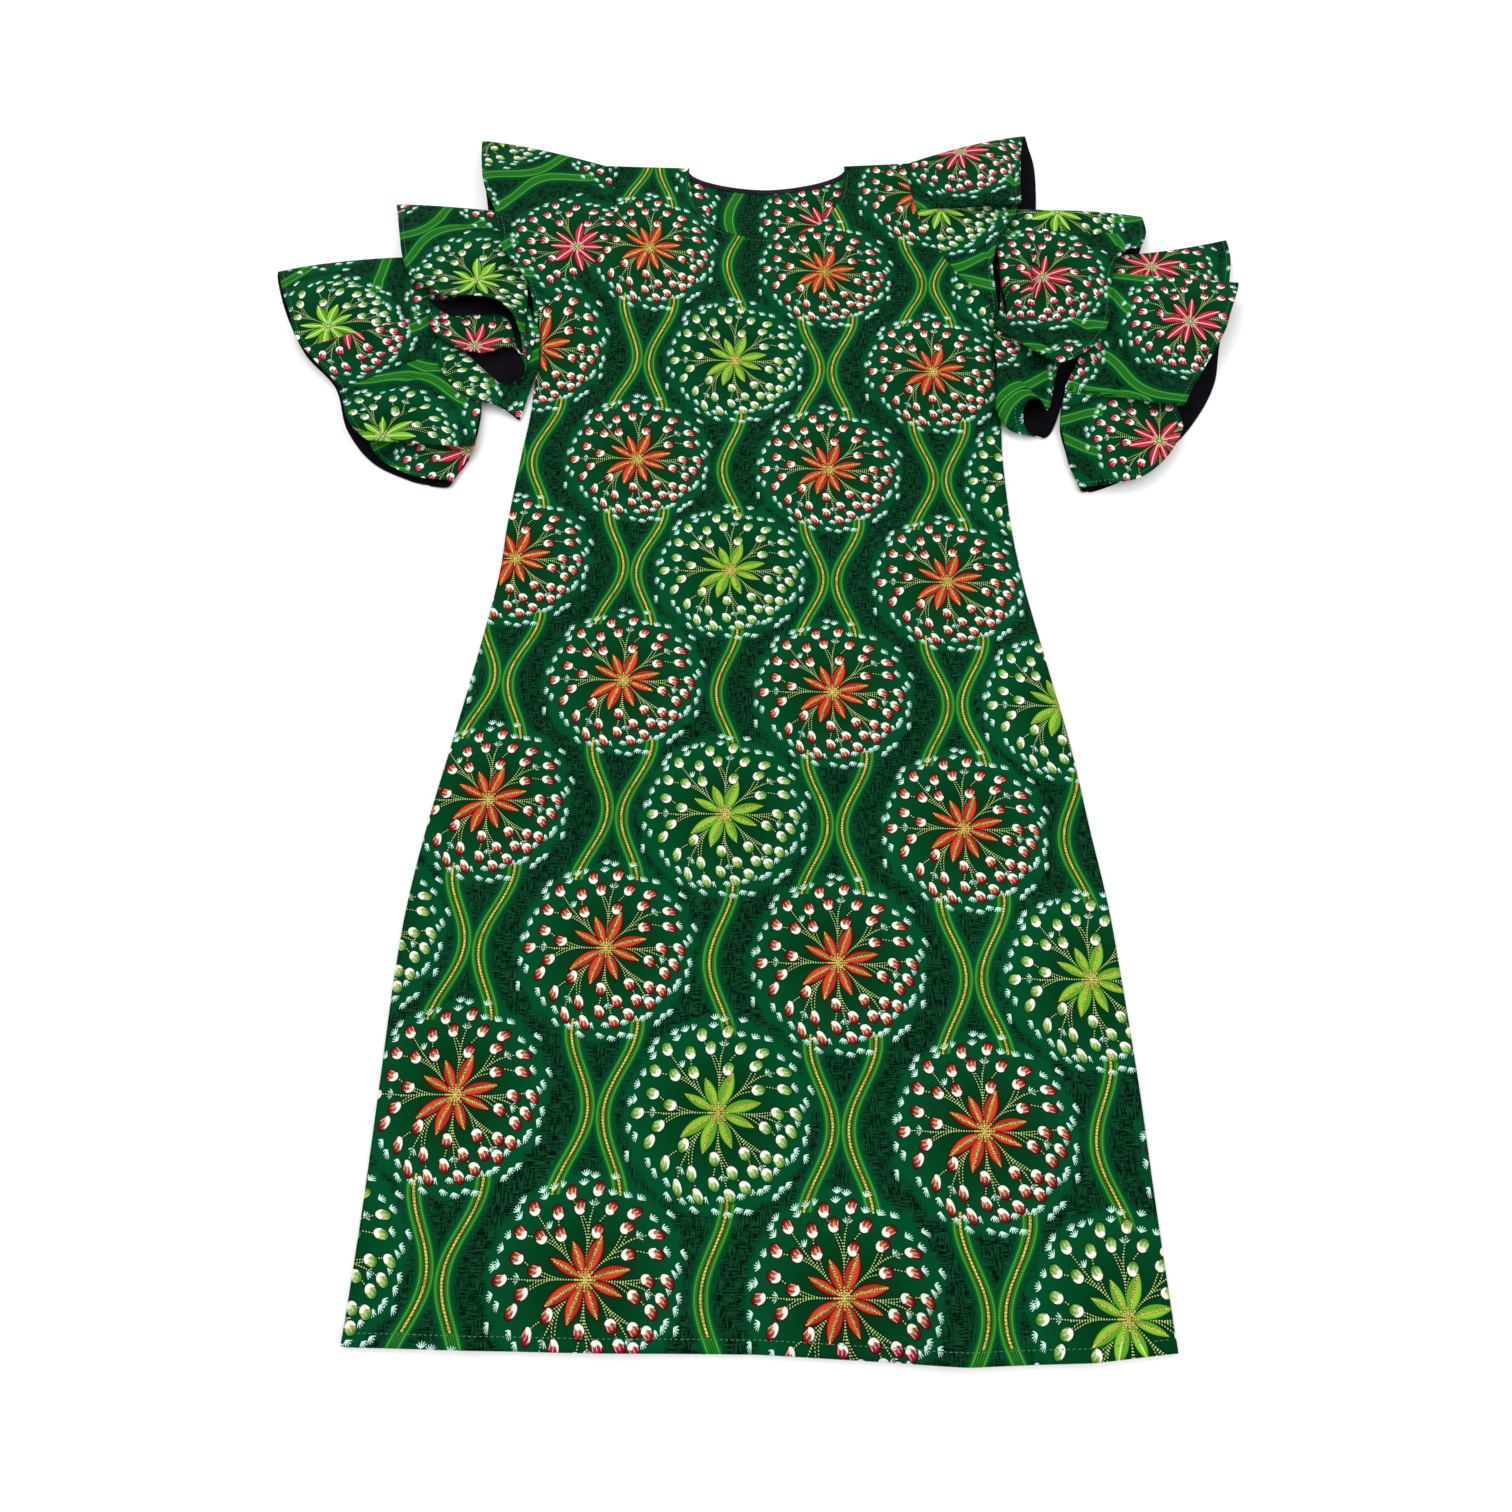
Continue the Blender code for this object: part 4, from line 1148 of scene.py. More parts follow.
LEFT_TIER_2 = [
    ("top fold", 1205, 6, 452, 1218, 6, 2),
    ("front", 1180, 8, 441, 1177, 12, 2),
    ("front", 1155, 9, 429, 1125, 16, 2),
    ("front", 1138, 10.5, 412, 1089, 20, 1),
    ("wave 1", 1126, 12, 393, 1076, 22, 1),
    ("wave 1", 1114, 13.5, 369, 1057, 25, 1),
    ("wave 1", 1104, 14.5, 342, 1054, 28, 1),
    ("wave 1", 1094, 15, 315, 1050, 29, 0),
    ("wave 1", 1086, 15, 293, 1037, 28, 0),
    ("wave 1", 1080, 14.5, 280, 1014, 25, 0),
    ("wave 1", 1076, 13.5, 273, 990, 20, 0),
    ("tucked", 1073, 13, 275, 982, 16, 0),
    ("tucked", 1071, 12.6, 284, 1000, 15, 0),
    ("tucked", 1069, 12.2, 296, 1032, 14.5, 0),
    ("tucked", 1067, 12, 322, 1040, 14.5, 0),
    ("tucked", 1064, 11.6, 362, 1038, 14.5, 0),
    ("tucked", 1061, 11, 394, 1060, 15, 0),
    ("wave 2", 1056, 10.5, 388, 1036, 14, 0),
    ("wave 2", 1050, 10.3, 374, 1008, 16.5, 0),
    ("wave 2", 1043, 10.3, 346, 987, 19, 0),
    ("wave 2", 1036, 10.3, 318, 980, 19, 0),
    ("wave 2", 1030, 10.2, 287, 991, 16, 0),
    ("tucked", 1027, 9.6, 272, 972, 11.5, 0),
    ("tucked", 1025, 9.4, 272, 952, 11, 0),
    ("tucked", 1022, 9.2, 291, 943, 11, 0),
    ("tucked", 1020, 9, 310, 956, 11.5, 0),
    ("tucked", 1018, 8.8, 336, 983, 12.5, 0),
    ("tucked", 1015, 8.6, 358, 1000, 13, 0),
    ("wave 3", 1011, 8, 373, 1006, 12, 0),
    ("wave 3", 1008, 7.6, 374, 990, 10.5, 0),
    ("wave 3", 1003, 7.2, 366, 966, 9.5, 1),
    ("wave 3", 998, 7, 338, 930, 10, 1),
    ("wave 3", 989, 6.4, 299, 917, 8, 0),
    ("underarm", 979, 5, 275, 904, 5, 0),
    ("underarm", 977, 3.2, 274, 902, 2, 0),
    ("back", 992, 2.7, 290, 916, 0.6, 0),
    ("back", 1013, 3.5, 321, 936, 0.6, 0),
    ("back", 1046, 3.3, 364, 975, 0.6, 0),
    ("back", 1080, 3.3, 389, 1027, 0.6, 0),
    ("back", 1127, 3.2, 414, 1086, 0.6, 0),
    ("back", 1175, 3.2, 438, 1150, 0.6, 0),
    ("back", 1198, 3.6, 451, 1208, 1, 0),
]
LEFT_TIER_3 = [
    ("top fold", 1137, 4.8, 578, 1111, 4, 2),
    ("front", 1118, 6, 564, 1076, 9, 3),
    ("front", 1100, 6, 549, 1042, 12, 3),
    ("front", 1080, 5.4, 537, 1009, 13, 3),
    ("front", 1060, 5.4, 518, 984, 13, 3),
    ("front", 1043, 5.4, 499, 964, 12, 3),
    ("valley", 1022, 5.4, 481, 945, 9, 1),
    ("front", 996, 5.4, 470, 923, 10, 1),
    ("front", 961, 5.6, 460, 897, 15, 2),
    ("front", 922, 6.5, 447, 876, 20, 2),
    ("crest", 863, 12, 432, 861, 22, 1),
    ("crest", 863, 10.4, 427, 861, 18.5, 0),
    ("tucked", 867, 9, 428, 874, 14, 0),
    ("tucked", 876, 7.4, 420, 892, 9.5, 0),
    ("tucked", 866, 5.2, 433, 872, 4.6, 0),
    ("lower wave", 857, 5, 421, 849, 5, 0),
    ("lower wave", 850, 5, 397, 832, 6, 0),
    ("lower wave", 844, 5, 371, 822, 6.5, 0),
    ("underarm", 834, 4.2, 341, 819, 5, 0),
    ("underarm", 833, 2.6, 341, 813, 1.8, 0),
    ("back", 848, 1.9, 357, 814, 0.6, 0),
    ("back", 886, 2.4, 386, 822, 0.6, 0),
    ("back", 928, 3.3, 429, 845, 0.6, 0),
    ("back", 991, 3.3, 463, 888, 0.6, 0),
    ("back", 1045, 3.3, 485, 945, 0.6, 0),
    ("back", 1087, 3.3, 527, 992, 0.6, 0),
    ("back", 1118, 3.3, 558, 1048, 0.6, 0),
    ("back", 1130, 3.4, 577, 1097, 1.2, 0),
]
print("ribs in the left sleeve's tables:", len(LEFT_TIER_1) + len(LEFT_TIER_2) + len(LEFT_TIER_3))

# %% [markdown]
# The right sleeve isn't the left one mirrored. Its second flounce ends in a roll that opens towards
# the hem, and its third has a low flap next to its top fold.

# %% The right sleeve's flounces
RIGHT_TIER_1 = [
    ("top fold", 1290, 5, 325, 1341, 7, 1),
    ("front", 1258, 7, 315, 1300, 15, 3),
    ("front", 1231, 7.5, 309, 1249, 21, 3),
    ("crest", 1218, 8.8, 306, 1216, 24, 1),
    ("crest", 1216, 8, 306, 1211, 21, 0),
    ("tucked", 1213, 7, 305, 1224, 16.5, 0),
    ("tucked", 1208, 5.6, 304, 1214, 12, 0),
    ("front", 1186, 7, 294, 1184, 17, 1),
    ("front", 1160, 7.5, 275, 1152, 20, 1),
    ("front", 1135, 7.5, 266, 1118, 18, 0),
    ("front", 1110, 7, 267, 1085, 14, 0),
    ("front", 1078, 6.4, 270, 1062, 9, 0),
    ("underarm", 1046, 4, 269, 1044, 4, 0),
    ("back", 1070, 2.1, 274, 1064, 1.9, 0),
    ("back", 1110, 2.1, 314, 1120, 0.6, 0),
    ("back", 1160, 2.1, 325, 1180, 0.6, 0),
    ("back", 1200, 2.1, 332, 1236, 0.6, 0),
    ("back", 1240, 2.1, 335, 1292, 0.6, 0),
    ("back", 1270, 2.3, 331, 1328, 0.8, 0),
]
RIGHT_TIER_2 = [
    ("top fold", 1217, 6, 456, 1206, 6, 2),
    ("front", 1190, 8, 456, 1178, 10, 2),
    ("front", 1168, 9, 446, 1153, 13, 2),
    ("front", 1153, 10, 430, 1146, 15, 2),
    ("front", 1138, 10, 415, 1129, 17, 2),
    ("front", 1120, 10, 403, 1099, 19, 1),
    ("front", 1098, 10, 397, 1059, 21, 1),
    ("front", 1075, 10, 387, 1022, 22, 1),
    ("front", 1054, 11, 365, 990, 23, 1),
    ("crest", 1034, 12, 333, 968, 25, 1),
    ("crest", 1032, 10.4, 328, 969, 20.5, 0),
    ("tucked", 1030, 8.4, 335, 986, 14, 0),
    ("tucked", 1026, 6, 341, 1000, 7, 0),
    ("roll foot", 1015, 5, 328, 964, 4, 0),
    ("roll", 999, 9, 312, 911, 15, 0),
    ("roll", 985, 13, 301, 916, 24, 0),
    ("roll", 973, 15, 290, 915, 27, 0),
    ("roll", 964, 13, 283, 908, 22, 0),
    ("roll", 955, 8, 283, 898, 15, 0),
    ("underarm", 945, 4.2, 288, 888, 8, 0),
    ("back", 960, 3.2, 299, 884, 3, 0),
    ("back", 984, 3.4, 318, 893, 0.6, 0),
    ("back", 1011, 3.3, 350, 972, 0.6, 0),
    ("back", 1051, 3.3, 393, 1022, 0.6, 0),
    ("back", 1093, 3.3, 418, 1073, 0.6, 0),
    ("back", 1137, 3.2, 437, 1125, 0.6, 0),
    ("back", 1178, 3.2, 454, 1170, 0.6, 0),
    ("back", 1203, 3.6, 458, 1196, 1.2, 0),
]
RIGHT_TIER_3 = [
    ("top fold", 1145, 5, 553, 1171, 5, 1),
    ("back flap", 1134, 6.5, 552, 1140, 8, 1),
    ("back flap", 1124, 7, 545, 1101, 7, 0),
    ("tucked", 1117, 8, 543, 1084, 9, 0),
    ("tucked", 1116, 10, 548, 1088, 13, 0),
    ("crest", 1114, 12, 549, 1091, 18, 1),
    ("front", 1100, 13, 543, 1074, 21, 1),
    ("front", 1078, 13, 532, 1048, 22, 2),
    ("front", 1055, 12, 522, 1021, 21, 2),
    ("front", 1031, 12, 508, 996, 19, 2),
    ("front", 1006, 11, 491, 968, 18, 2),
    ("front", 980, 11, 472, 937, 20, 2),
    ("crest", 950, 11, 458, 912, 22, 1),
    ("tucked", 943, 8.5, 456, 920, 14, 0),
    ("tucked", 936, 7, 455, 931, 8, 0),
    ("tucked", 929, 6, 460, 911, 6, 0),
    ("lower wave", 918, 6, 458, 889, 9, 0),
    ("lower wave", 901, 6, 436, 853, 11, 1),
    ("lower wave", 883, 6, 404, 826, 11, 1),
    ("lower wave", 865, 5, 368, 819, 8, 1),
    ("underarm", 848, 4.4, 343, 816, 6, 0),
    ("underarm", 847, 2.6, 343, 813, 2, 0),
    ("back", 864, 2, 360, 816, 0.6, 0),
    ("back", 895, 2.4, 397, 834, 0.6, 0),
    ("back", 935, 3, 448, 873, 0.6, 0),
    ("back", 976, 3.3, 483, 915, 0.6, 0),
    ("back", 1020, 3.3, 508, 960, 0.6, 0),
    ("back", 1065, 3.3, 521, 1009, 0.6, 0),
    ("back", 1109, 3.3, 541, 1083, 0.6, 0),
    ("back", 1138, 3.6, 553, 1157, 1.2, 0),
]
FLOUNCES = {
    "left_tier_1": (LEFT, LEFT_TIER_1),
    "left_tier_2": (LEFT, LEFT_TIER_2),
    "left_tier_3": (LEFT, LEFT_TIER_3),
    "right_tier_1": (RIGHT, RIGHT_TIER_1),
    "right_tier_2": (RIGHT, RIGHT_TIER_2),
    "right_tier_3": (RIGHT, RIGHT_TIER_3),
}
print("ribs in the tables:", {name: len(folds) for name, (_, folds) in FLOUNCES.items()})

# %% [markdown]
# A flounce's surface is a grid: round the ring, and from the sewn edge to the free edge. Each rib is
# a straight line seen from above, and low at first, as the cloth leaves its seam flat.

# %% Flounce surfaces
FLOOR_LEVEL = CLOTH / 2
RIB_STEPS, ACROSS_STEPS = 12, 36
RISE_POWER, BOW_PEAK, FLUTE_HEIGHT = 1.5, 6.75, 0.5

# Two waves round the ring: turns for each rib, start and size
FLUTES = [(2.1, 0, 0.6), (4.7, 1, 0.4)]


def flutes(around, out):
    """Soft uneven flutes along the ribs: two waves round the ring that grow towards the free edge."""
    turn = around[:, None]
    return out * sum(np.sin(turn * times + plus) * size for times, plus, size in FLUTES)


def flounce_points(name, side, folds):
    """The middle of a flounce's cloth: a closed ring of ribs, each running from the sewn edge to
    the free edge. Its level rises as out ** RISE_POWER, where out is 0 at the seam and 1 at the
    edge, its bow is a hump out ** 2 * (1 - out) on top, and the deep folds are bells across lines."""
    seam_up, seam_level, free_out, free_up, free_level, bow = np.array([row[1:] for row in folds]).T
    seam_x, free_x = side * seam_out(name, seam_up), side * free_out
    arch = np.zeros(len(folds))
    arch[[-1, 0, 1]] = np.array(ARCH_SHARES) * TOP_ARCHES.get(name, 0)
    swell = np.zeros((len(folds), 2))
    for fold, swell_out, swell_up in SWELLS.get(name, []):
        swell[fold] = side * swell_out, swell_up
    sizes = [seam_x, seam_up, seam_level, free_x, free_up, free_level, bow, arch]
    table = np.hstack([np.stack(sizes, axis=1), swell])
    around = np.arange(len(folds) * RIB_STEPS) / RIB_STEPS
    ring = curve_through(table, around, closed=True)
    sewn, free, bow, arch = ring[:, None, 0:3], ring[:, None, 3:6], ring[:, None, 6], ring[:, None, 7]
    out = np.linspace(0, 1, ACROSS_STEPS + 1)[None, :]
    hump = BOW_PEAK * out**2 * (1 - out)
    plan = sewn[..., :2] + (free - sewn)[..., :2] * out[..., None]
    rise = sewn[..., 2] + (free - sewn)[..., 2] * out**RISE_POWER
    rise = rise + bow * (hump + FLUTE_HEIGHT * flutes(around, out))
    plan[..., 1] += arch * 4 * out * (1 - out)
    plan += ring[:, None, 8:10] * hump[..., None]
    for first, last, *line, width, height in DEEP_FOLDS[name]:
        share, beside = along_line(side * plan[..., 0], plan[..., 1], *line)
        ends = np.sin(np.pi * np.clip(share, 0, 1)) ** 0.5
        on_ribs = smooth(around, first - 1, first) * (1 - smooth(around, last, last + 1))
        rise = rise + height * on_ribs[:, None] * ends * np.exp(-((beside / width) ** 2))
    return np.concatenate([plan, np.maximum(rise, FLOOR_LEVEL)[..., None]], axis=2)


print("points in a rib:", ACROSS_STEPS + 1, "ribs from one fold to the next:", RIB_STEPS)

# %% [markdown]
# The print on a flounce follows the flat cloth, not the floor under it. Because every rib is nearly
# straight, the ring can be unrolled: each step along the free edge keeps its length and turns by the
# angles that the ribs make with it. What comes out is the flat circle that the flounce was cut from.

# %% The flounces' print, and the flounces
# Each flounce is pieced from a few parts of a circle, which meet in a tuck or at a fold. For each
# part: its first fold, then how its flat cloth lies on the print, turned by degrees, moved across and up
PRINT_ON_FLOUNCE = {
    "left_tier_1": [(0, 20, 7, 25)],
    "left_tier_2": [(0, 25, -175, 4), (13, 0, -29, 52), (24.5, 0, -180, -15)],
    "left_tier_3": [(0, 35, -112, -42), (3.65, 0, -18, -88), (6.5, -40, -202, -42), (14, 0, -270, -27)],
    "right_tier_1": [(0, 0, 42, 62), (4.5, 0, -162, -60)],
    "right_tier_2": [(0, 0, -2, -103), (1.3, -40, -61, -168), (11, -41, -134, 80)],
    "right_tier_3": [(0, -45, 5, 90), (3.5, -45, -61, -84), (13.5, -45, 72, 70)],
}


def unrolled(points):
    """The ring laid flat, as one row more than it has. Between two ribs the free edge turns by the
    angles that it makes with them, so its heading is a running sum, and its places are another."""
    ribs = np.concatenate([points, points[:1]])
    free, sewn = ribs[:, -1], ribs[:, 0]
    edge = np.diff(free, axis=0)
    inward = sewn - free

    def angle(a, b):
        cosine = (a * b).sum(axis=1) / (np.linalg.norm(a, axis=1) * np.linalg.norm(b, axis=1))
        return np.arccos(np.clip(cosine, -1, 1))

    ahead = angle(inward[:-1], edge)
    behind = angle(inward[1:], -edge)
    heading = np.concatenate([[0], np.cumsum(np.pi - behind[:-1] - ahead[1:])])
    steps = np.linalg.norm(edge, axis=1)[:, None] * np.stack([np.cos(heading), np.sin(heading)], axis=1)
    edge_place = np.concatenate([[[0, 0]], np.cumsum(steps, axis=0)])
    rib_heading = np.append(heading + ahead, heading[-1] + np.pi - behind[-1])
    rib_way = np.stack([np.cos(rib_heading), np.sin(rib_heading)], axis=1)
    length = np.linalg.norm(np.diff(ribs, axis=1), axis=2)
    along = np.hstack([np.zeros((len(ribs), 1)), np.cumsum(length, axis=1)])
    from_edge = length.sum(axis=1)[:, None] - along
    return edge_place[:, None, :] + rib_way[:, None, :] * from_edge[..., None]


def flounce_print(name, side, points):
    """The unrolled ring, mirrored on the left so that the print isn't, then each part of it turned
    and moved to its place on the print."""
    flat = strips(unrolled(points) * (1, side))
    folds = np.arange(len(flat)) / RIB_STEPS
    for first_fold, degrees, across, up in PRINT_ON_FLOUNCE[name]:
        turn = math.radians(degrees)
        spin = np.array([[math.cos(turn), math.sin(turn)], [-math.sin(turn), math.cos(turn)]])
        placed = flat @ spin + (across, up)
        from_here = (folds >= first_fold)[:, None, None, None]
        whole = placed if first_fold == 0 else np.where(from_here, placed, whole)
    return whole * MM


flounces = {}
for name, (side, folds) in FLOUNCES.items():
    points = flounce_points(name, side, folds)
    prints = flounce_print(name, side, points)
    piece = cloth(name + "_shell", points, prints, plain_print, black_lining, offset=0.0, flip=side == RIGHT)
    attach(piece, "root")
    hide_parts(name)
    flounces[name] = (piece, points)
    print(name, "ribs:", len(points), "parts:", len(PRINT_ON_FLOUNCE[name]))

# %% [markdown]
# The back of the neck is bound with a narrow dark strip: two folded bands with a lighter line where
# they meet. It is swept along the scoop's edge, and lies on the back panel.

# %% Back neck binding
BINDING_WIDTH, BINDING_CLOTH, BINDING_WALL, BINDING_REACH = 6.5, 1.0, 0.7, 0.97
SCOOP_STEPS, BINDING_STEPS, BAND_HEIGHT = 96, 8, 0.28


def scoop(depth, squareness, reach=1.0):
    """Points along a neckline from left to right, and the way into the cloth at each."""
    arc = np.linspace(-1, 1, SCOOP_STEPS + 1) * reach * np.pi / 2
    across = np.sin(arc) * NECK_HALF
    outline = np.stack([across, neck_edge(across, depth, squareness)], axis=1)
    along = np.gradient(outline, axis=0)
    inward = np.stack([along[:, 1], -along[:, 0]], axis=1)
    return outline, inward / np.linalg.norm(inward, axis=1)[:, None]


outline, inward = scoop(BACK_NECK_DEPTH, BACK_NECK_SQUARENESS, BINDING_REACH)
share = np.linspace(0, 1, BINDING_STEPS + 1)
plan = outline[:, None, :] + inward[:, None, :] * BINDING_WIDTH * share[None, :, None]
bands = BAND_HEIGHT * np.abs(np.sin(2 * np.pi * share))
crown = CLOTH + SEAM_GAP + BINDING_CLOTH * (1 - BAND_HEIGHT + bands)
strip = np.concatenate([plan, np.broadcast_to(crown[None, :, None], (*plan.shape[:2], 1))], axis=2)
binding = cloth("neck_binding", strip, strips(plan * MM), dark_binding, dark_binding, thickness=BINDING_WALL)
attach(binding, "root")
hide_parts("back_neck_binding")
print("binding length in mm:", round(float(np.linalg.norm(np.diff(outline, axis=0), axis=1).sum())))

# %% [markdown]
# Thousands of small gold studs are glued along the petals and stems of the front. Their places come
# from the same formulas as the print: a line of them up each petal and each thick stem, and a
# cluster on each head.

# %% Where the studs go
# Radii of the studs, the first and last of a petal's rows, and how far short of its tip they stop
PETAL_STUD, STEM_STUD, MIDDLE_STUD = 0.7, 1.1, 0.95
PETAL_FIRST, PETAL_LAST, TIP_CLEAR = 3, 19, 1
ROUNDS_TO_UNBEND = 8

# The cluster on a head: radius of each ring and its number of studs
MIDDLE_RINGS = [(0.0, 1), (2.3, 6), (4.6, 12)]

# Repeats of the print across the front, and heads up a column, that may touch it
FRONT_REPEATS, FRONT_HEADS = range(-2, 2), range(-2, 6)


def unbent(bent, radius):
    """The angle whose bent angle is given. The bend changes slowly, so it is taken off repeatedly."""
    angle = bent
    for _ in range(ROUNDS_TO_UNBEND):
        bend = sum(sine_of(angle, times, plus) * size for times, plus, size in BENDS)
        angle = bent - bend * (radius / BEND_RADIUS) ** 2
    return angle


def round_places(radius, turn, third):
    """x and y at a distance and a turn from the middle, with a third number beside them."""
    return np.stack([radius * np.cos(turn), radius * np.sin(turn), np.zeros_like(turn) + third], -1)


def petal_studs():
    """x, y and size of the studs up the petals' midlines, from the head's middle."""
    angle = (np.arange(HEAD_SPRAYS) + (1 - HEAD_SPRAYS) / 2) * (2 * np.pi / HEAD_SPRAYS)
    rows = np.arange(PETAL_FIRST, PETAL_LAST + 1) * PETAL_STUD_PITCH
    angle, radius = np.meshgrid(angle, rows, indexing="ij")
    kept = radius < PETAL_START + PETAL_LENGTH + wander(angle, 4, PETAL_GROWTH) - TIP_CLEAR
    turned = unbent(angle + wander(angle, 2, PETAL_TURN), radius)
    return round_places(radius, turned, PETAL_STUD)[kept]


def middle_studs():
    """A stud on the head's middle, and rings of six and twelve round it."""
    turns = [(radius, 2 * np.pi * np.arange(count) / count) for radius, count in MIDDLE_RINGS]
    return np.concatenate([round_places(radius, turn, MIDDLE_STUD) for radius, turn in turns])


def stem_studs(lime):
    """The studs down the thick stems above and below a head, on the lines of stem_distance."""
    gap = REPEAT_UP / 2 - HEAD_REACH
    up = np.arange(math.ceil(HEAD_REACH / STUD_PITCH), int(REPEAT_UP / 2 / STUD_PITCH) + 1) * STUD_PITCH
    y = np.concatenate([-up, up])
    from_middle = (np.abs(y) - REPEAT_UP / 2) * np.sign(y)
    wave = np.cos((from_middle + PAIR_LOW) * math.pi / gap)
    bow = (1 - wave) * PAIR_BOW + PAIR_NEAR
    axis = from_middle * PAIR_LEAN
    lines = [SINGLE_SIDE - (wave + 1) * SINGLE_BOW] if lime else [axis + bow, axis - bow]
    return np.concatenate([np.stack([x, y, 0 * y + STEM_STUD], -1) for x in lines])


def heads_on_front():
    """x, y on the print of each head that may touch the front, and whether it is lime."""
    heads = []
    for repeat in FRONT_REPEATS:
        for column, place in enumerate(COLUMN_PLACES):
            u = repeat * THREE_COLUMNS + place
            odd = (3 * repeat + column) % 2
            heads += [(u, (up + odd / 2) * REPEAT_UP - DROP * u, column == 0) for up in FRONT_HEADS]
    return heads


print("studs on a head:", len(petal_studs()) + len(middle_studs()))

# %% [markdown]
# Every stud is a low six-sided dome, and all of them are one joined mesh. They stay off the side
# seams, the neckline and the turned hem, where a maker couldn't press them on.

# %% Gold studs
# A stud of radius 1: the radius and height of its two rings, and the height of its top
STUD_SIDES, STUD_SINK = 6, 0.08
DOME_RINGS, DOME_TOP = [(1.0, 0.0), (0.72, 0.42)], 0.58
EDGE_SHARE, EDGE_CLEAR = 0.985, 4.0


def domes(x, y, z, size):
    """Vertices and faces of closed six-sided domes, one at each place: two rings and a top."""
    corner = np.arange(STUD_SIDES) * 2 * np.pi / STUD_SIDES
    rings = [round_places(radius, corner, height) for radius, height in DOME_RINGS]
    shape = np.concatenate([*rings, [(0, 0, DOME_TOP)]])
    places = np.stack([x, y, z - STUD_SINK], -1)[:, None, :] + shape[None] * size[:, None, None]
    upper, top = STUD_SIDES, 2 * STUD_SIDES
    sides = [(side, (side + 1) % STUD_SIDES) for side in range(STUD_SIDES)]
    faces = [(side, after, after + upper, side + upper) for side, after in sides]
    faces += [(side + upper, after + upper, top) for side, after in sides]
    faces += [tuple(reversed(range(STUD_SIDES)))]
    return places.reshape(-1, 3), repeated(faces, len(x), len(shape))


def repeated(faces, count, step):
    """One shape's faces for each of many copies, whose vertices follow each other by step."""
    return [tuple(step * copy + vertex for vertex in face) for copy in range(count) for face in faces]


def joined_piece(name, places, faces, material, slot):
    """A piece of many small closed shapes, in dress millimetres, that rides on the dress."""
    mesh = bpy.data.meshes.new(name)
    mesh.from_pydata(((places + DRESS_TO_FRAME) * MM).tolist(), [], faces)
    mesh.shade_smooth()
    mesh.materials.append(material)
    piece = add_object(name, mesh)
    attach(piece, "root")
    return piece


found = [
    np.concatenate([petal_studs(), middle_studs(), stem_studs(lime)]) + (u, v, 0)
    for u, v, lime in heads_on_front()
]
print_x, print_y, size = np.concatenate(found).T
x, y = on_dress(print_x, print_y)
side = side_share(x, y)
below_neck = y < neck_edge(x, FRONT_NECK_DEPTH, FRONT_NECK_SQUARENESS) - EDGE_CLEAR
above_turn = above_hem(side, y) > HEM_TURN + STEM_STUD
kept = (np.abs(side) < EDGE_SHARE) & above_turn & below_neck
x, y, side, size = x[kept], y[kept], side[kept], size[kept]
studs = joined_piece("gold_studs", *domes(x, y, front_top(x, y, side), size), gold_stud, "gold_stud")
print("studs:", len(x), "points:", len(studs.data.vertices))

# %% [markdown]
# Sewing shows as rows of small stitches: one along the hem, one below the front neckline, and one
# inside the free edge of each flounce. A stitch is a short three-sided thread with pointed ends that
# lies along its row. Rows are read from the cloth's own points, so they follow every fold.

# %% Stitches
STITCH_LENGTH, STITCH_PITCH, STITCH_HALF, STITCH_HEIGHT = 3.0, 4.4, 0.3, 0.3
HEM_STITCH_UP, NECK_STITCH_IN, FLOUNCE_STITCH_IN, NECK_STITCH_REACH = 10.0, 4.0, 5.0, 0.97

# A stitch's places along its length, and its faces: point 0, triangles 1 to 3 and 4 to 6, point 7
STITCH_PLACES = np.array([-0.5, -0.25, 0.25, 0.5])
STITCH_FACES = [(0, 2, 1), (0, 3, 2), (0, 1, 3), (1, 2, 5, 4), (2, 3, 6, 5), (3, 1, 4, 6)]
STITCH_FACES += [(7, 4, 5), (7, 5, 6), (7, 6, 4)]
STITCH_POINTS = 8


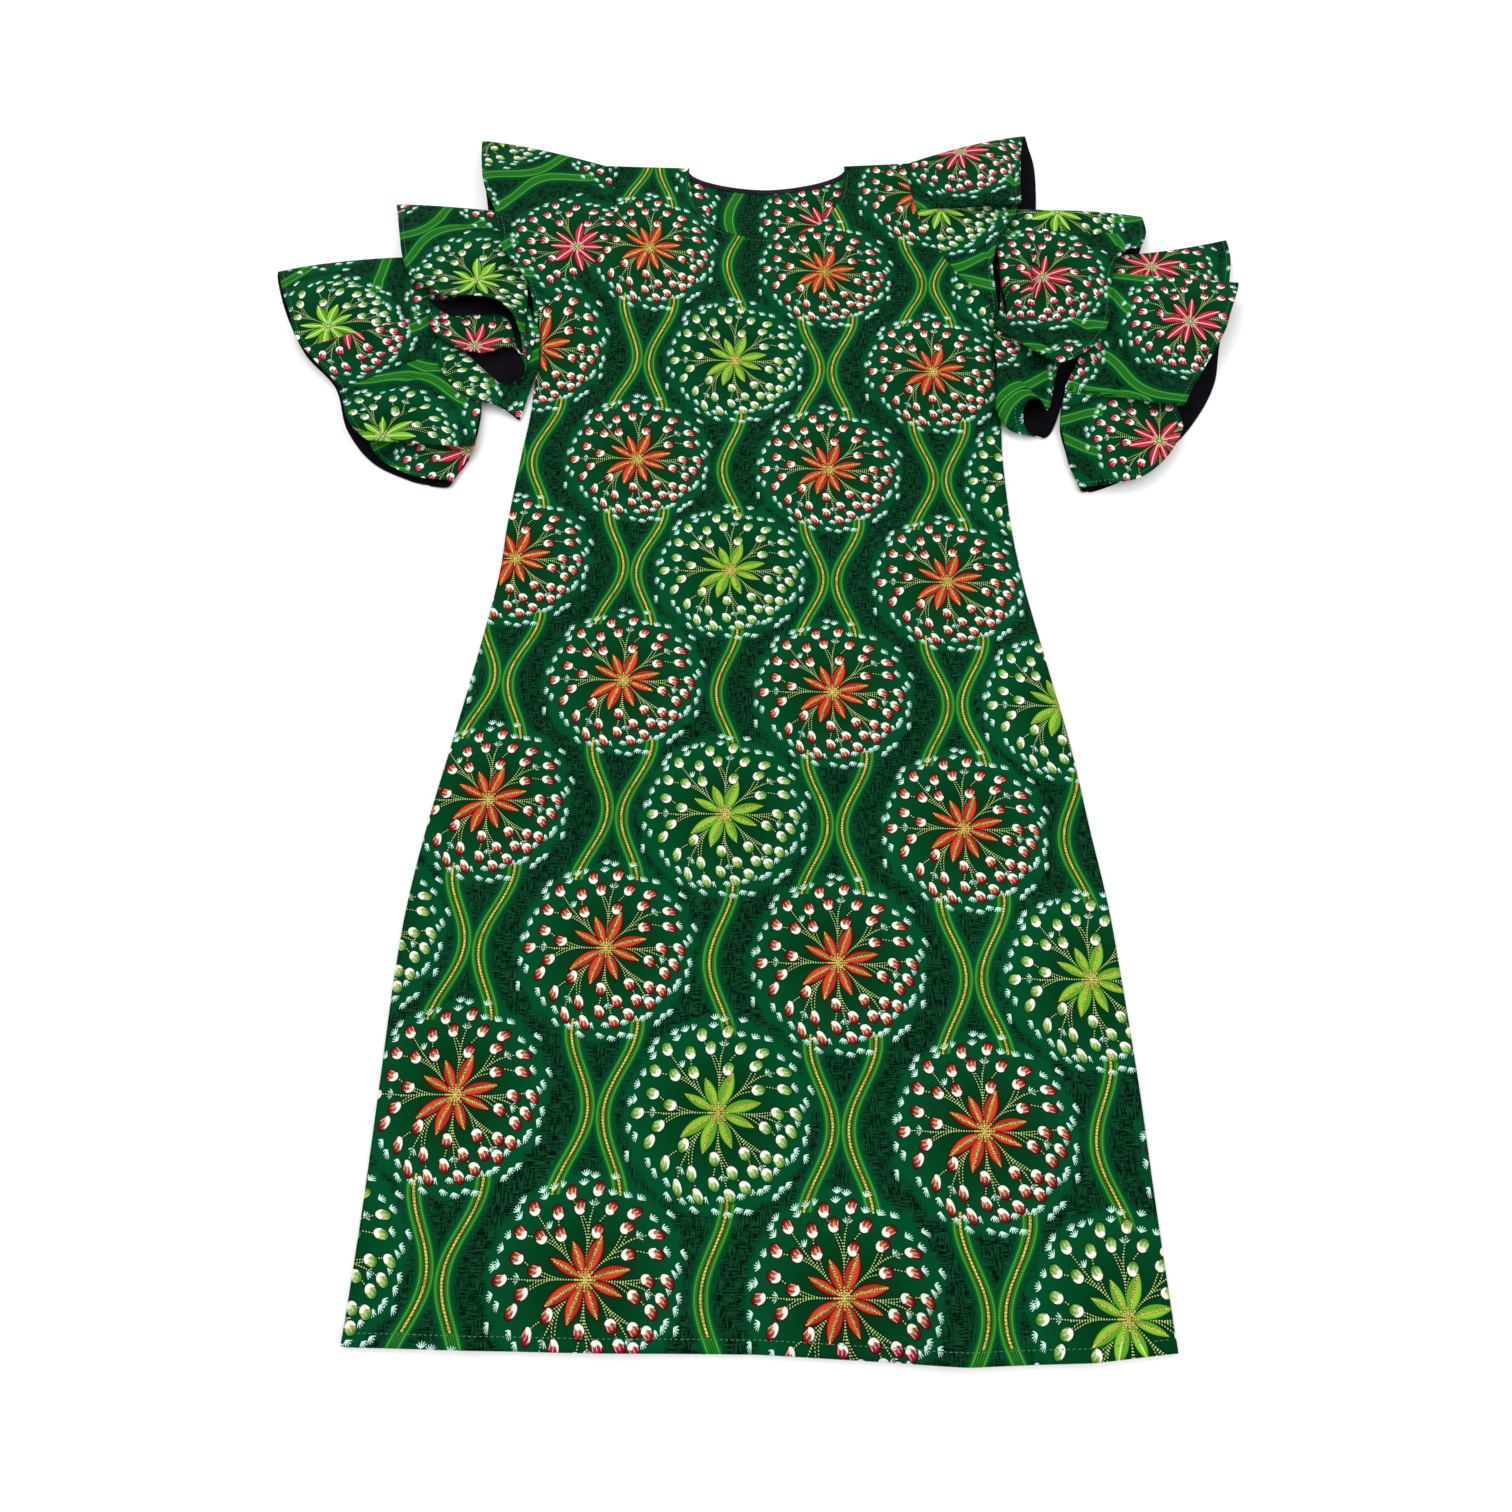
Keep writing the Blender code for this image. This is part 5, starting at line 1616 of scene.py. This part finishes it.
def stitch_row(line, normals):
    """Vertices and faces of the stitches along a line of points, raised along its normals."""
    run = np.concatenate([[0], np.cumsum(np.linalg.norm(np.diff(line, axis=0), axis=1))])
    middles = np.arange(STITCH_PITCH, run[-1] - STITCH_PITCH, STITCH_PITCH)
    samples = middles[:, None] + STITCH_LENGTH * STITCH_PLACES

    def read(values, at):
        return np.stack([np.interp(at, run, values[:, axis]) for axis in range(3)], -1)

    places, up = read(line, samples), read(normals, middles)
    way = places[:, 3] - places[:, 0]
    beside = np.cross(way, up)
    beside = beside / np.linalg.norm(beside, axis=1)[:, None] * STITCH_HALF
    first, low, high, last = places.transpose(1, 0, 2)
    triangles = [(end - beside, end + beside, end + up * STITCH_HEIGHT) for end in (low, high)]
    shape = np.stack([first, *triangles[0], *triangles[1], last], axis=1)
    return shape.reshape(-1, 3), repeated(STITCH_FACES, len(shape), STITCH_POINTS)


def on_front(x, y):
    """Points on the front panel's upper face, and the upward normals there."""
    line = np.stack([x, y, front_top(x, y, side_share(x, y))], -1)
    return line, np.broadcast_to((0.0, 0.0, 1.0), line.shape)


def joined_rows(rows):
    """Several stitch rows as one list of vertices and one of faces."""
    places, faces, count = [], [], 0
    for row_places, row_faces in rows:
        faces += [tuple(count + v for v in face) for face in row_faces]
        count += len(row_places)
        places.append(row_places)
    return np.concatenate(places), faces


hem_line = front_points[0, :, :2] + (0, HEM_STITCH_UP)
outline, inward = scoop(FRONT_NECK_DEPTH, FRONT_NECK_SQUARENESS, NECK_STITCH_REACH)
neck_line = outline + inward * NECK_STITCH_IN
rows = [stitch_row(*on_front(*line.T)) for line in (hem_line, neck_line)]
front_stitches = joined_piece("front_stitches", *joined_rows(rows), thread, "sewing_thread")
for name, (side, _) in FLOUNCES.items():
    points = flounces[name][1]
    rib_length = np.linalg.norm(np.diff(points, axis=1), axis=2).sum(axis=1)
    column = ACROSS_STEPS * (1 - FLOUNCE_STITCH_IN / rib_length)
    low = np.minimum(column.astype(int), ACROSS_STEPS - 1)
    ring = np.arange(len(points))
    start, end = points[ring, low], points[ring, low + 1]
    line = start + (end - start) * (column - low)[:, None]
    around = np.roll(line, -1, axis=0) - np.roll(line, 1, axis=0)
    normals = np.cross(end - start, around) * (-side)
    normals = normals / np.linalg.norm(normals, axis=1)[:, None]
    closed = [np.concatenate([each, each[:1]]) for each in (line + normals * CLOTH_WALL / 2, normals)]
    piece = joined_piece(name + "_stitches", *stitch_row(*closed), thread, "sewing_thread")
    print(name, "stitches:", len(piece.data.vertices) // STITCH_POINTS)

# %% [markdown]
# A flounce was cut from a square of cloth as a circle with a hole.


# %% [markdown]
